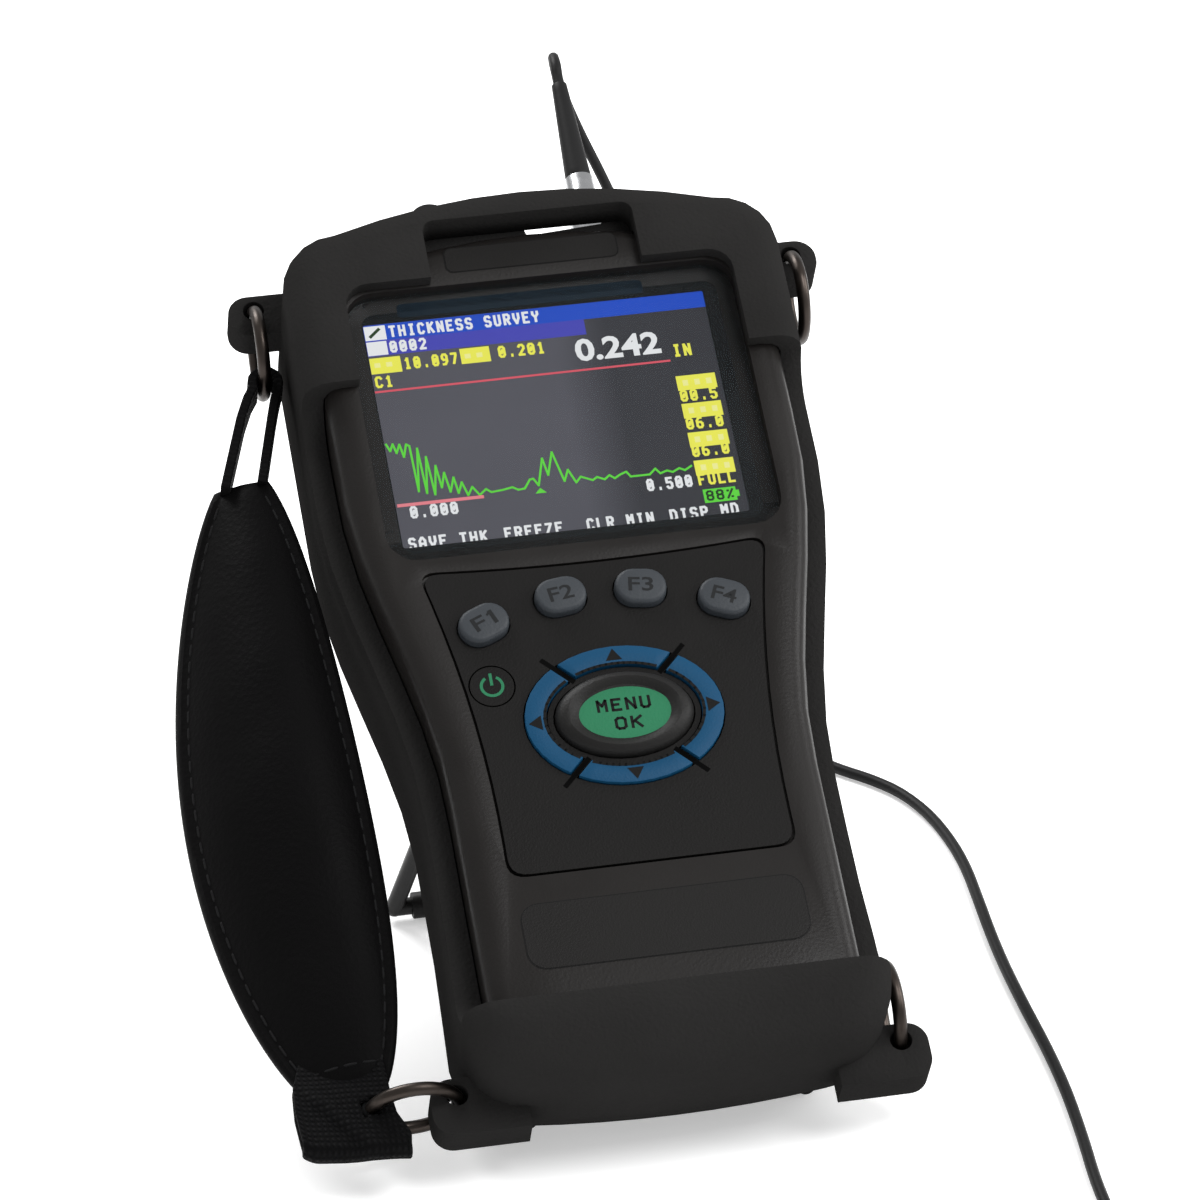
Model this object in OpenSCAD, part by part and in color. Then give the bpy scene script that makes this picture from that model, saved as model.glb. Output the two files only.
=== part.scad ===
// Handheld ultrasonic thickness gauge in a rubber boot, leaning on its wire stand.
// The gauge's own frame has x to the right, y to the back from the front face and
// z up the face from the lowest point of the boot. leaned() sets it on the table.

/* [Case] */
// Lowest point of the case above the lowest point of the boot
case_z0 = 3; // [2:0.5:5]
// Length of the case
case_len = 154; // [148:1:160]
// Depth of the case, front face to back face
case_depth = 31; // [29:0.5:36]
// Half width of the case at the keypad
waist_half = 30; // [29:0.5:32]
// Half width of the case at the display
head_half = 38.7; // [38:0.1:41]
// Distance from the top of the case down to where it starts to widen
taper_low_drop = 105; // [101:1:109]
// Distance from the top of the case down to its full width
taper_high_drop = 45; // [41:1:53]
// Thickness of the front wall
front_wall = 4.2; // [4:0.1:5]
// Thickness of the other walls
case_wall = 2.2; // [1.8:0.1:2.6]
// Depth of the front half, where the two halves part
parting = 9; // [8:0.25:11]
// Rounding of the front edge
case_edge = 3; // [2:0.25:4]
// Clearance between pieces that seat in one another
fit = 0.15; // [0.1:0.05:0.25]

/* [Display] */
// Distance from the top of the case down to the middle of the display
display_drop = 36; // [34:0.5:38]
// Width of the lens
lens_w = 66; // [64:0.5:67]
// Height of the lens
lens_h = 52; // [50:0.5:53]
// Thickness of the lens
lens_t = 1.4; // [1:0.1:1.8]
// Depth of the lens below the front face
lens_sink = 1.2; // [0.8:0.1:1.6]
// Ledge that carries the lens
lens_ledge = 2.6; // [2:0.1:3]
// Thickness of the display module behind the front wall
module_t = 3.4; // [3:0.1:3.6]

/* [Keypad] */
// Distance from the lens down to the keypad panel
panel_gap = 3; // [2:0.5:4]
// Height of the keypad panel
panel_h = 56.5; // [54:0.5:58]
// Half width of the panel along its top
panel_top_half = 28.7; // [28:0.1:29.2]
// Half width of the panel along its bottom
panel_low_half = 23.2; // [22:0.1:24]
// Depth of the recess that takes the panel
panel_t = 0.9; // [0.7:0.1:1.2]
// Width of the groove round the panel
panel_groove = 0.45; // [0.3:0.05:0.6]
// Travel of every key
key_travel = 0.8; // [0.5:0.05:0.9]
// Gap round a key
key_gap = 0.25; // [0.2:0.05:0.35]
// Width of a softkey
softkey_w = 8.6; // [8:0.1:9]
// Height of a softkey
softkey_h = 6.6; // [6:0.1:7]
// Height of a softkey above the panel
softkey_rise = 1.7; // [1.2:0.1:2]
// Pitch of the softkeys
softkey_pitch = 13.3; // [12.8:0.1:13.8]
// Distance from the top of the panel down to the inner softkeys
softkey_drop = 7.2; // [6.6:0.2:8]
// Radius of the arc that the softkeys follow
softkey_arc = 51; // [48:1:60]
// Distance from the top of the panel down to the middle of the direction ring
pad_drop = 30; // [29:0.25:31]
// Half width of the direction ring
pad_a = 16.3; // [15.8:0.1:16.8]
// Half height of the direction ring
pad_b = 12.6; // [12:0.1:13]
// Width of the band of the direction ring
pad_band = 3.5; // [3:0.1:3.8]
// Width of the slots between the direction keys
pad_slot = 1.4; // [1:0.1:1.6]
// Height of the direction keys above the panel
pad_rise = 0.6; // [0.4:0.1:0.9]
// Height of the menu key above the panel
menu_rise = 1.9; // [1.4:0.1:2.2]
// Distance of the power key from the middle
power_x = 20.4; // [20:0.1:20.8]
// Distance from the top of the panel down to the power key
power_drop = 22; // [21:0.25:23]
// Radius of the power key
power_r = 3.6; // [3.2:0.1:3.8]

/* [Boot] */
// Thickness of the boot's side walls
boot_wall = 3.8; // [3:0.1:4.4]
// Thickness of the boot in front of the case
boot_front = 2.5; // [2:0.1:3]
// Thickness of the boot behind the case
boot_back = 3; // [2.5:0.1:4]
// Gap between boot and case
boot_fit = 0.25; // [0.15:0.05:0.4]
// Distance from the top of the case to the crown of the guard arch
arch_rise = 8; // [7:0.25:9]
// Gap between the top of the case and the guard arch
arch_gap = 1.7; // [1.2:0.1:2.2]
// Depth of the guard arch
arch_depth = 6; // [5:0.25:7]
// Height of the lip of the bottom pocket
lip_z = 13; // [11:0.5:15]
// How much wider the pocket is than the rails
pocket_flare = 0.7; // [0.3:0.1:1]
// Setback of the rails behind the front face
rail_back = 8.5; // [7:0.25:10]
// Distance from the top of the case down to the lower edge of the shoulders
shoulder_drop = 28; // [25:0.5:31]
// Half width of the opening between the shoulders
shoulder_half = 33; // [32:0.25:34.5]
// Distance from the top of the case down to where the opening narrows to the notch
notch_drop = 9.5; // [8:0.5:10.5]
// Half width of the notch
notch_half = 18; // [16:0.25:20]
// Half width of the connector bay
bay_half = 25; // [23:0.5:27]
// Back edge of the connector bay
bay_back = 27; // [25:0.5:28]
// Rounding of the rear of the bottom
heel_r = 17; // [15:0.5:17.5]
// Distance of the two feet from the middle
foot_x = 22.9; // [20:0.5:25]
// Height of the feet above the heel
foot_rise = 1.8; // [1.5:0.1:2.4]

/* [Ears and rings] */
// Distance of the upper ear holes from the middle
upper_ear_x = 46.6; // [46.4:0.1:47.4]
// Distance from the top of the case down to the upper ear holes
upper_ear_drop = 2.75; // [1:0.25:3.5]
// Distance of the lower ear holes from the middle
lower_ear_x = 36; // [35.8:0.1:36.8]
// Height of the lower ear holes
lower_ear_z = 4.8; // [4.5:0.1:6]
// Distance of the ear holes from the back face of the case
ear_back = 15; // [14:0.5:16]
// Thickness of an ear
ear_t = 6; // [5:0.25:6.5]
// Distance from an ear's hole out to its tip
ear_reach = 4.4; // [4:0.1:4.8]
// Rounding of an ear's tip
ear_r = 3.5; // [3:0.1:3.6]
// Distance from an ear's hole up to its top
ear_high = 2.9; // [2.8:0.1:3.6]
// Distance from an upper ear's hole down to its bottom
upper_ear_low = 4.8; // [4.5:0.1:5]
// Distance from a lower ear's hole down to its bottom
lower_ear_low = 6.8; // [6:0.1:7.2]
// Radius of the hole in an ear
ear_hole_r = 1.8; // [1.75:0.05:2]
// Radius of a ring to the middle of its wire
ring_r = 7.1; // [6.9:0.05:7.4]
// Radius of the rings' wire
ring_wire_r = 1.1; // [0.9:0.05:1.15]
// Inward lean of the lower right ring
ring_lean = 0.5; // [0:0.25:1]

/* [Strap] */
// Bottom of the strap's pad
strap_low = 4.8; // [4:0.2:8]
// Distance from the upper ear holes down to the top of the strap's pad
strap_drop = 28.25; // [28:0.25:33]
// Half width of the pad at its widest
strap_half = 14.8; // [13:0.1:15.2]
// Thickness of the pad
strap_t = 5; // [3.5:0.25:6]
// Distance of the pad's ends from the middle of the gauge
strap_x = 52; // [51.5:0.25:54]
// How far the pad bows out
strap_bow = 4; // [3:0.25:6]
// How much further back the outer edge of the pad lies
strap_turn = 9; // [6:0.5:11]
// Width of the webbing loops
web_w = 9; // [8:0.25:9.5]
// Thickness of the webbing
web_t = 2.2; // [1.8:0.1:2.4]

/* [Stand] */
// Lean of the face from upright
lean = 56; // [52:0.5:58]
// Height of the stand's hinge up the back
hinge_z = 76; // [74:0.5:79]
// Distance of the hinge from the back of the boot
hinge_off = 3.2; // [3:0.1:4]
// Radius of the stand's wire
stand_wire_r = 1.5; // [1.2:0.05:1.6]
// Gap between wire and lug
hinge_gap = 0.15; // [0.1:0.05:0.25]
// Length of the stand's legs
leg_len = 35; // [34.5:0.25:36.5]
// Half width of the stand at its hinge
stand_top_half = 24; // [23:0.25:25]
// Half width of the stand at its foot
stand_low_half = 33; // [30:0.25:34]
// Radius of the sleeves on the foot
sleeve_r = 2.3; // [2:0.05:2.5]
// Length of a sleeve
sleeve_len = 12; // [8:0.5:16]

/* [Electronics] */
// Thickness of the main board
board_t = 1.6; // [1.2:0.1:2]
// Gap between the front wall and the main board
board_off = 4; // [3.8:0.1:4.6]
// Diameter of a cell
cell_d = 14.5; // [13.5:0.1:14.5]
// Length of a cell
cell_len = 50.5; // [48:0.5:51]
// Bottom of the cells
cell_z = 30; // [29:0.5:32]
// Thickness of the contact strips
contact_t = 0.8; // [0.5:0.1:1]
// Thickness of the compartment's end walls
bay_wall = 1.6; // [1.2:0.1:2]

/* [Connectors and cable] */
// Distance of the sockets from the middle
socket_x = 13.6; // [13:0.1:14.5]
// Distance of the sockets from the back face of the case
socket_back = 15; // [14:0.5:16]
// Radius of a socket's barrel
socket_r = 4; // [3.6:0.1:4.2]
// Radius of the plug's shell
plug_r = 2.5; // [2.3:0.05:2.7]
// Length of the plug's shell above the case
plug_len = 19; // [17:0.5:20]
// Length of the bend relief
relief_len = 20; // [18:0.5:20]
// Diameter of the probe cable
cable_d = 2; // [1.8:0.1:2.4]
// Height of the rubber cap on the free socket
cap_h = 8; // [7:0.25:9]
// Mean radius of the cable's coil
coil_r = 11.5; // [11:0.5:12.5]
// Height of the coil
coil_h = 4.2; // [4.2:0.2:6]
// Radius of the probe
probe_r = 6.5; // [6:0.25:7.5]
// Height of the probe
probe_h = 15; // [13:0.5:18]
// Thickness of the probe's wear face
wear_t = 1.2; // [0.8:0.1:1.6]

/* [Hidden] */
$fn = 48;
eps = 0.02;
// Shift that brings the middle of the object's box over the origin
middle = [-10.1, 78];

// Sizes worked out from the driving dimensions
case_z1 = case_z0 + case_len;
taper_low = case_z1 - taper_low_drop;
taper_high = case_z1 - taper_high_drop;
display_z = case_z1 - display_drop;
panel_top = display_z - lens_h / 2 - panel_gap;
panel_low = panel_top - panel_h;
softkey_z = panel_top - softkey_drop;
pad_z = panel_top - pad_drop;
power_z = panel_top - power_drop;
shoulder_z = case_z1 - shoulder_drop;
notch_z = case_z1 - notch_drop;
upper_ear_z = case_z1 - upper_ear_drop;
ear_y = case_depth - ear_back;
strap_top = upper_ear_z - strap_drop;
socket_y = case_depth - socket_back;
boot_y0 = -boot_front;
boot_y1 = case_depth + boot_back;
boot_z1 = case_z1 + arch_rise;
bottom_bulge = 1.4;
top_crown = 5;
boot_chin = 9;
boot_edge = 5;
boot_corner = 10;
heel_y = boot_y1 - heel_r;
foot_r = heel_r + foot_rise;
lift = foot_r + heel_y * sin(lean) - heel_r * cos(lean);
inner_y0 = front_wall;
inner_y1 = case_depth - case_wall;

// Smooth step from 0 to 1
function ease(t) = 0.5 - 0.5 * cos(180 * min(max(t, 0), 1));

// Half widths of case and boot at height z
function case_half(z) =
    waist_half + (head_half - waist_half) * ease((z - taper_low) / (taper_high - taper_low));
flare_run = 24;
function boot_half(z) = case_half(z) + boot_wall + pocket_flare * (1 - ease((z - lip_z) / flare_run));

// Inset of a rounded edge at depth y, between y0 and y1
function edge_inset(y, y0, y1, front_r, back_r) =
    y < y0 + front_r ? front_r - sqrt(max(front_r ^ 2 - (y0 + front_r - y) ^ 2, 0)) :
    y > y1 - back_r ? back_r - sqrt(max(back_r ^ 2 - (y - y1 + back_r) ^ 2, 0)) : 0;

// Depths at which a body with rounded edges is drawn
function edge_levels(y0, y1, front_r, back_r, steps) = concat(
    [for (i = [0:steps]) y0 + front_r * (1 - cos(90 * i / steps))],
    [for (i = [0:steps]) y1 - back_r + back_r * sin(90 * i / steps)]);

// Outline of case or boot at depth y, from the bottom round by the right
edge_steps = 4;
corner_steps = 5;
side_steps = 14;
function half_outline(half, z0, z1, low_r, top_r, bulge, crown) =
    let (low = z0 + bulge + low_r, top = z1 - crown - top_r)
    let (low_x = half(low) - low_r, top_x = half(top) - top_r)
    concat(
        [for (i = [0:edge_steps - 1]) [low_x * i / edge_steps, z0 + bulge * (i / edge_steps) ^ 2]],
        [for (i = [0:corner_steps]) let (a = 90 * i / corner_steps - 90)
            [low_x + low_r * cos(a), low + low_r * sin(a)]],
        [for (i = [1:side_steps - 1]) let (z = low + (top - low) * i / side_steps) [half(z), z]],
        [for (i = [0:corner_steps]) let (a = 90 * i / corner_steps)
            [top_x + top_r * cos(a), top + top_r * sin(a)]],
        [for (i = [edge_steps - 1:-1:0]) [top_x * i / edge_steps, z1 - crown * (i / edge_steps) ^ 2]]);
function whole_outline(right) =
    concat(right, [for (i = [len(right) - 2:-1:1]) [-right[i][0], right[i][1]]]);
function at_depth(outline, y) = [for (p = outline) [p[0], y, p[1]]];

min_corner = 0.8;
function case_outline(grow, y) =
    let (side = edge_inset(y, -grow, case_depth + grow, case_edge + grow, case_back_edge + grow))
    let (low = edge_inset(y, -grow, case_depth + grow, case_chin + grow, case_heel + grow))
    whole_outline(half_outline(function(z) case_half(z) + grow - side,
        case_z0 - grow + low, case_z1 + grow - side,
        max(case_low_corner + grow - side, min_corner), max(case_top_corner + grow - side, min_corner),
        bottom_bulge, top_crown));
function boot_outline(y) =
    let (side = edge_inset(y, boot_y0, boot_y1, boot_edge, boot_edge))
    let (low = edge_inset(y, boot_y0, boot_y1, boot_chin, heel_r))
    whole_outline(half_outline(function(z) boot_half(z) - side, low, boot_z1 - side,
        max(boot_corner - side, min_corner), max(boot_corner - side, min_corner),
        bottom_bulge, top_crown));
case_chin = boot_chin - case_z0;
case_heel = heel_r - boot_back;
case_back_edge = 4;
case_low_corner = boot_corner - case_z0;
case_top_corner = 7;

// Solid through rings of points that follow one another
module loft(rings) {
    n = len(rings[0]);
    last = len(rings) - 1;
    sides = [for (i = [0:last - 1], j = [0:n - 1])
        let (k = (j + 1) % n)
        each [[i * n + j, i * n + k, (i + 1) * n + k], [i * n + j, (i + 1) * n + k, (i + 1) * n + j]]];
    first_cap = [for (j = [n - 1:-1:0]) j];
    last_cap = [for (j = [0:n - 1]) last * n + j];
    polyhedron([for (r = rings) each r], concat(sides, [first_cap, last_cap]), convexity = 6);
}

// Case body between two depths, grown or shrunk on every side
module case_body(grow, from, to) {
    depths = edge_levels(-grow, case_depth + grow, case_chin + grow, case_heel + grow, 5);
    kept = [for (y = depths) if (y > from + eps && y < to - eps) y];
    loft([for (y = concat([from], kept, [to])) at_depth(case_outline(grow, y), y)]);
}

// Flat shape in x and z, carried from depth y0 to depth y1
module along_y(y0, y1) {
    translate([0, y1, 0]) rotate([90, 0, 0]) linear_extrude(y1 - y0) children();
}

// Rectangle with round corners about the middle, drawn in by an inset
corner_turns = [[1, 1, 0], [-1, 1, 90], [-1, -1, 180], [1, -1, 270]];
function rect_outline(w, h, r, inset = 0) =
    [for (c = corner_turns, i = [0:corner_steps]) let (a = c[2] + 90 * i / corner_steps)
        [c[0] * (w / 2 - r) + (r - inset) * cos(a), c[1] * (h / 2 - r) + (r - inset) * sin(a)]];
module round_rect(w, h, r) {
    polygon(rect_outline(w, h, r));
}

// The gauge's own frame, leaned back and set on its feet
module leaned() {
    translate([-middle[0], -middle[1], lift]) rotate([-lean, 0, 0]) children();
}

// Mirrored pair about the middle plane
module both_sides() {
    children();
    mirror([1, 0, 0]) children();
}

// Rubber boot

// Side view of what is cut away in front of the rails
lip_fillet = 6;
shoulder_fillet = 8;
reach = 20;
module rail_cut() {
    steps = 6;
    low = lip_z + lip_fillet;
    top = shoulder_z - shoulder_fillet;
    profile = concat([[-reach, lip_z]],
        [for (i = [0:steps]) let (a = 90 * i / steps - 90)
            [rail_back - lip_fillet + lip_fillet * cos(a), low + lip_fillet * sin(a)]],
        [for (i = [0:steps]) let (a = 90 * i / steps)
            [rail_back - shoulder_fillet + shoulder_fillet * cos(a), top + shoulder_fillet * sin(a)]],
        [[-reach, shoulder_z]]);
    translate([-boot_half(case_z1) - reach, 0, 0]) rotate([90, 0, 90])
        linear_extrude(2 * (boot_half(case_z1) + reach)) polygon(profile);
}

// Opening between the shoulders, with the notch below the guard arch
opening_corner = 4;
module front_opening() {
    opening_low = shoulder_z - shoulder_fillet - opening_corner;
    arch_low = case_z1 + arch_gap;
    along_y(-reach, arch_depth) {
        translate([0, (opening_low + notch_z) / 2])
            round_rect(2 * shoulder_half, notch_z - opening_low, opening_corner);
        translate([0, (opening_low + arch_low) / 2])
            round_rect(2 * notch_half, arch_low - opening_low, opening_corner / 2);
    }
}

module connector_bay() {
    bay_front = arch_depth - boot_front;
    translate([0, (bay_front + bay_back) / 2, case_z1 - top_crown - reach])
        linear_extrude(2 * reach + top_crown)
            round_rect(2 * bay_half, bay_back - bay_front, opening_corner);
}

// Ear with its hole near the top, on a web that reaches in to the boot
ear_web = 11;
module ear(x, z, low) {
    tip = x + ear_reach - ear_r;
    top = z + ear_high;
    bottom = z - low;
    along_y(ear_y - ear_t / 2, ear_y + ear_t / 2) {
        translate([tip, top - ear_r]) circle(r = ear_r);
        translate([tip, bottom + ear_r]) circle(r = ear_r);
        translate([tip, bottom + ear_r]) square([ear_r, top - bottom - 2 * ear_r]);
        translate([x - ear_web, bottom]) square([tip - x + ear_web, top - bottom]);
    }
}

module ear_hole(x, z) {
    translate([x, ear_y + ear_t, z]) rotate([90, 0, 0]) cylinder(r = ear_hole_r, h = 2 * ear_t);
}

// Round-ended foot that stands on the table
foot_peg_r = 1.7;
foot_root = 4;
module foot() {
    peg_root = heel_r - foot_root;
    translate([foot_x, heel_y, heel_r]) rotate([lean + 180, 0, 0]) {
        translate([0, 0, peg_root]) cylinder(r = foot_peg_r, h = foot_r - peg_root - foot_peg_r);
        translate([0, 0, foot_r - foot_peg_r]) sphere(r = foot_peg_r);
    }
}

// Lug on the back that carries one end of the stand
lug_r = 3.6;
lug_len = 7;
lug_gap = 0.5;
lug_root = 1;
lug_x = stand_top_half - stand_wire_r - lug_gap - lug_len;
module stand_lug() {
    translate([lug_x, boot_y1 + hinge_off, hinge_z]) rotate([0, 90, 0])
        cylinder(r = lug_r, h = lug_len);
    translate([lug_x, boot_y1 - lug_root, hinge_z - lug_r])
        cube([lug_len, hinge_off + lug_root, 2 * lug_r]);
}

module stand_bore() {
    translate([lug_x - 1, boot_y1 + hinge_off, hinge_z]) rotate([0, 90, 0])
        cylinder(r = stand_wire_r + hinge_gap, h = lug_len + 2);
}

module boot() color("#1d1c1c") leaned() difference() {
    union() {
        depths = edge_levels(boot_y0, boot_y1, boot_chin, heel_r, 6);
        loft([for (y = depths) at_depth(boot_outline(y), y)]);
        both_sides() {
            ear(upper_ear_x, upper_ear_z, upper_ear_low);
            ear(lower_ear_x, lower_ear_z, lower_ear_low);
            foot();
            stand_lug();
        }
    }
    case_body(boot_fit, -boot_fit, case_depth + boot_fit);
    rail_cut();
    front_opening();
    connector_bay();
    both_sides() {
        ear_hole(upper_ear_x, upper_ear_z);
        ear_hole(lower_ear_x, lower_ear_z);
        stand_bore();
    }
}

// Rings in the ears

// The ring lies across its ear's hole, set in by half the sag of its arc
ring_sag = ring_r - sqrt(ring_r ^ 2 - (ear_t / 2) ^ 2);
ring_off = ring_r - ring_sag / 2;
module wire_ring() {
    rotate_extrude() translate([ring_r, 0]) circle(r = ring_wire_r);
}

module upper_ring(side) color("#3a332e") leaned()
    translate([side * upper_ear_x, ear_y, upper_ear_z - ring_off]) rotate([0, 90, 0]) wire_ring();
module upper_left_ring() upper_ring(-1);
module upper_right_ring() upper_ring(1);
module lower_left_ring() color("#3a332e") leaned()
    translate([-lower_ear_x - ring_off, ear_y, lower_ear_z]) wire_ring();
module lower_right_ring() color("#4a3a30") leaned() translate([lower_ear_x, ear_y, lower_ear_z])
    rotate([0, -ring_lean, 0]) translate([0, 0, ring_off]) rotate([0, 90, 0]) wire_ring();

// Hand strap

pad_ring_points = 20;
pad_levels = 18;
pad_end = 0.035;
pad_skew = 0.85;
pad_tilt = 1;
function pad_section(t) =
    let (bell = sin(180 * t), z = strap_low + (strap_top - strap_low) * t)
    let (half = strap_half * sqrt(sin(180 * t ^ pad_skew)), thick = strap_t / 4 * (1 + sqrt(bell)))
    let (mid = -strap_x - strap_bow * bell - pad_tilt * t)
    [for (i = [0:pad_ring_points - 1])
        let (a = -360 * i / pad_ring_points, s = cos(a))
        let (turned = strap_turn * s * half / (2 * strap_half), cupped = strap_t * bell * (s * s - 0.5))
        [mid + half * s, ear_y - turned + thick * sin(a) + cupped, z]];
module strap_pad() color("#232222") leaned()
    loft([for (i = [0:pad_levels]) pad_section(pad_end + (1 - 2 * pad_end) * i / pad_levels)]);

// Loop of webbing round the upper ring, with two legs down to the pad
eye_slack = 0.5;
module strap_top_loop() color("#191919") leaned() {
    eye_x = -upper_ear_x;
    eye_z = upper_ear_z - ring_off - ring_r;
    eye_in = ring_wire_r + eye_slack;
    eye_out = eye_in + web_t;
    pad_z1 = strap_low + (strap_top - strap_low) * (1 - pad_end) + fit;
    pad_mid = -strap_x - pad_tilt;
    leg_spread = 4.2;
    eye_half = web_w / 4;
    leg_step = 0.2;
    leg_half = eye_half - leg_step;
    difference() {
        union() {
            along_y(ear_y - eye_half, ear_y + eye_half) translate([eye_x, eye_z]) circle(r = eye_out);
            for (side = [-1, 1]) along_y(ear_y - leg_half, ear_y + leg_half) polygon([
                [eye_x + side * eye_out * 0.7, eye_z - eye_out * 0.2],
                [eye_x - side * eye_out * 0.1, eye_z - eye_out * 0.7],
                [pad_mid + side * (leg_spread - web_t), pad_z1],
                [pad_mid + side * leg_spread, pad_z1]]);
        }
        along_y(ear_y - web_w, ear_y + web_w) translate([eye_x, eye_z]) circle(r = eye_in);
    }
}

// Fold of webbing round the lower ring
module strap_bottom_loop() color("#191919") leaned() {
    wire_x = -lower_ear_x - ring_off - ring_r;
    slot_w = 6;
    slot_room = 0.4;
    slot_h = 2 * (ring_wire_r + eye_slack + slot_room);
    slot_x = wire_x + slot_w / 2 - ring_wire_r - eye_slack;
    fold_low = -2;
    fold_top = strap_low + (strap_top - strap_low) * pad_end - fit;
    fold_right = slot_x + slot_w / 2 + web_t;
    fold_half = 8;
    fold_left = -strap_x - fold_half;
    along_y(ear_y - web_w / 2, ear_y + web_w / 2) difference() {
        translate([(fold_left + fold_right) / 2, (fold_low + fold_top) / 2])
            round_rect(fold_right - fold_left, fold_top - fold_low, web_t);
        translate([slot_x, lower_ear_z]) round_rect(slot_w, slot_h, slot_h / 2 - eps);
    }
}

// Wire stand

hinge_h = lift - (boot_y1 + hinge_off) * sin(lean) + hinge_z * cos(lean);
hinge_back = (boot_y1 + hinge_off) * cos(lean) + hinge_z * sin(lean);
leg_drop = hinge_h - sleeve_r;
leg_back = sqrt(leg_len ^ 2 - leg_drop ^ 2);
module at_hinge() {
    translate([-middle[0], hinge_back - middle[1], hinge_h]) children();
}

// Straight piece of wire, which swells a little at the bend on its end
bend_swell = 0.06;
module wire(a, b) {
    d = b - a;
    translate(a) rotate([0, acos(d[2] / norm(d)), atan2(d[1], d[0])])
        cylinder(r = stand_wire_r, h = norm(d));
    translate(b) sphere(r = stand_wire_r + bend_swell);
}

module tilt_stand() color("#2b2a29") at_hinge() {
    both_sides() {
        wire([lug_x, 0, 0], [stand_top_half, 0, 0]);
        wire([stand_top_half, 0, 0], [stand_low_half, leg_back, -leg_drop]);
    }
    wire([-stand_low_half, leg_back, -leg_drop], [stand_low_half, leg_back, -leg_drop]);
}

module stand_sleeves() color("#151515") at_hinge() both_sides()
    translate([stand_low_half - 2 * stand_wire_r - sleeve_len, leg_back, -leg_drop]) rotate([0, 90, 0])
        difference() {
            cylinder(r = sleeve_r, h = sleeve_len);
            translate([0, 0, -1]) cylinder(r = stand_wire_r + eps, h = sleeve_len + 2);
        }

// Case halves

screw_rise = 1;
screw_points = [[22.5, 20.5], [29.5, panel_top + screw_rise]];
screw_r = 1.25;
screw_head_r = 2.4;
screw_head_h = 1.8;
post_r = 3.2;
board_post_r = 2.4;
screw_bite = 4;
lens_corner = 5;
groove_in = 0.7;
groove_out = 1.5;
groove_depth = 0.8;
board_post_drop = 9.7;
board_posts = [[22, 28.5], [26, case_z1 - board_post_drop]];

// Outline of the keypad panel, with bowed sides and top
panel_dip = 1.2;
panel_waist = 2.4;
panel_corner = 3.2;
function corner_arc(before, corner, after) =
    let (a = corner + panel_corner * (before - corner) / norm(before - corner))
    let (b = corner + panel_corner * (after - corner) / norm(after - corner))
    [for (i = [0:corner_steps]) let (t = i / corner_steps)
        (1 - t) ^ 2 * a + 2 * t * (1 - t) * corner + t ^ 2 * b];
function panel_side(t) = panel_low_half + (panel_top_half - panel_low_half) * t ^ 2
    - panel_waist * sin(180 * t) / 4;
function panel_outline(grow) =
    let (steps = 10, z1 = panel_top + grow, z0 = panel_low - grow)
    let (side = [for (i = [0:steps]) let (t = i / steps) [panel_side(t) + grow, z0 + (z1 - z0) * t]])
    let (top_x = side[steps][0])
    let (top = [for (i = [steps:-1:1]) let (t = i / steps) [top_x * t, z1 - panel_dip * (1 - t * t)]])
    let (right = concat(
        corner_arc([0, z0], side[0], side[1]),
        [for (i = [1:steps - 1]) side[i]],
        corner_arc(side[steps - 1], side[steps], top[1]),
        [for (i = [2:steps - 1]) top[i]]))
    concat(right, [[0, z1 - panel_dip]], [for (i = [len(right) - 1:-1:0]) [-right[i][0], right[i][1]]]);

module front_case() color("#211f1e") leaned() {
    difference() {
        case_body(0, 0, parting);
        case_body(-case_wall, inner_y0, parting + case_wall);
        // Recess and seat of the lens
        along_y(-1, lens_sink + lens_t) translate([0, display_z])
            round_rect(lens_w + 2 * fit, lens_h + 2 * fit, lens_corner);
        along_y(0, inner_y0 + 1) translate([0, display_z])
            round_rect(lens_w - 2 * lens_ledge, lens_h - 2 * lens_ledge, lens_corner - lens_ledge);
        // Recess of the keypad panel and the shafts of the keys
        along_y(-1, panel_t) polygon(panel_outline(panel_groove));
        along_y(-1, inner_y0 + 1) all_key_shapes(key_gap);
        // Groove of the seal
        along_y(parting - groove_depth, parting + 1) difference() {
            polygon(seal_outline(groove_in - fit / 2));
            polygon(seal_outline(groove_out + fit / 2));
        }
    }
    // Screw posts and board posts
    for (p = screw_points) both_sides() along_y(inner_y0 - 1, parting) translate(p) difference() {
        circle(r = post_r);
        circle(r = screw_r + eps);
    }
    for (p = board_posts) both_sides() along_y(inner_y0 - 1, inner_y0 + board_off) translate(p)
        circle(r = board_post_r);
}

function seal_outline(inset) = case_outline(-inset, parting);

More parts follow.
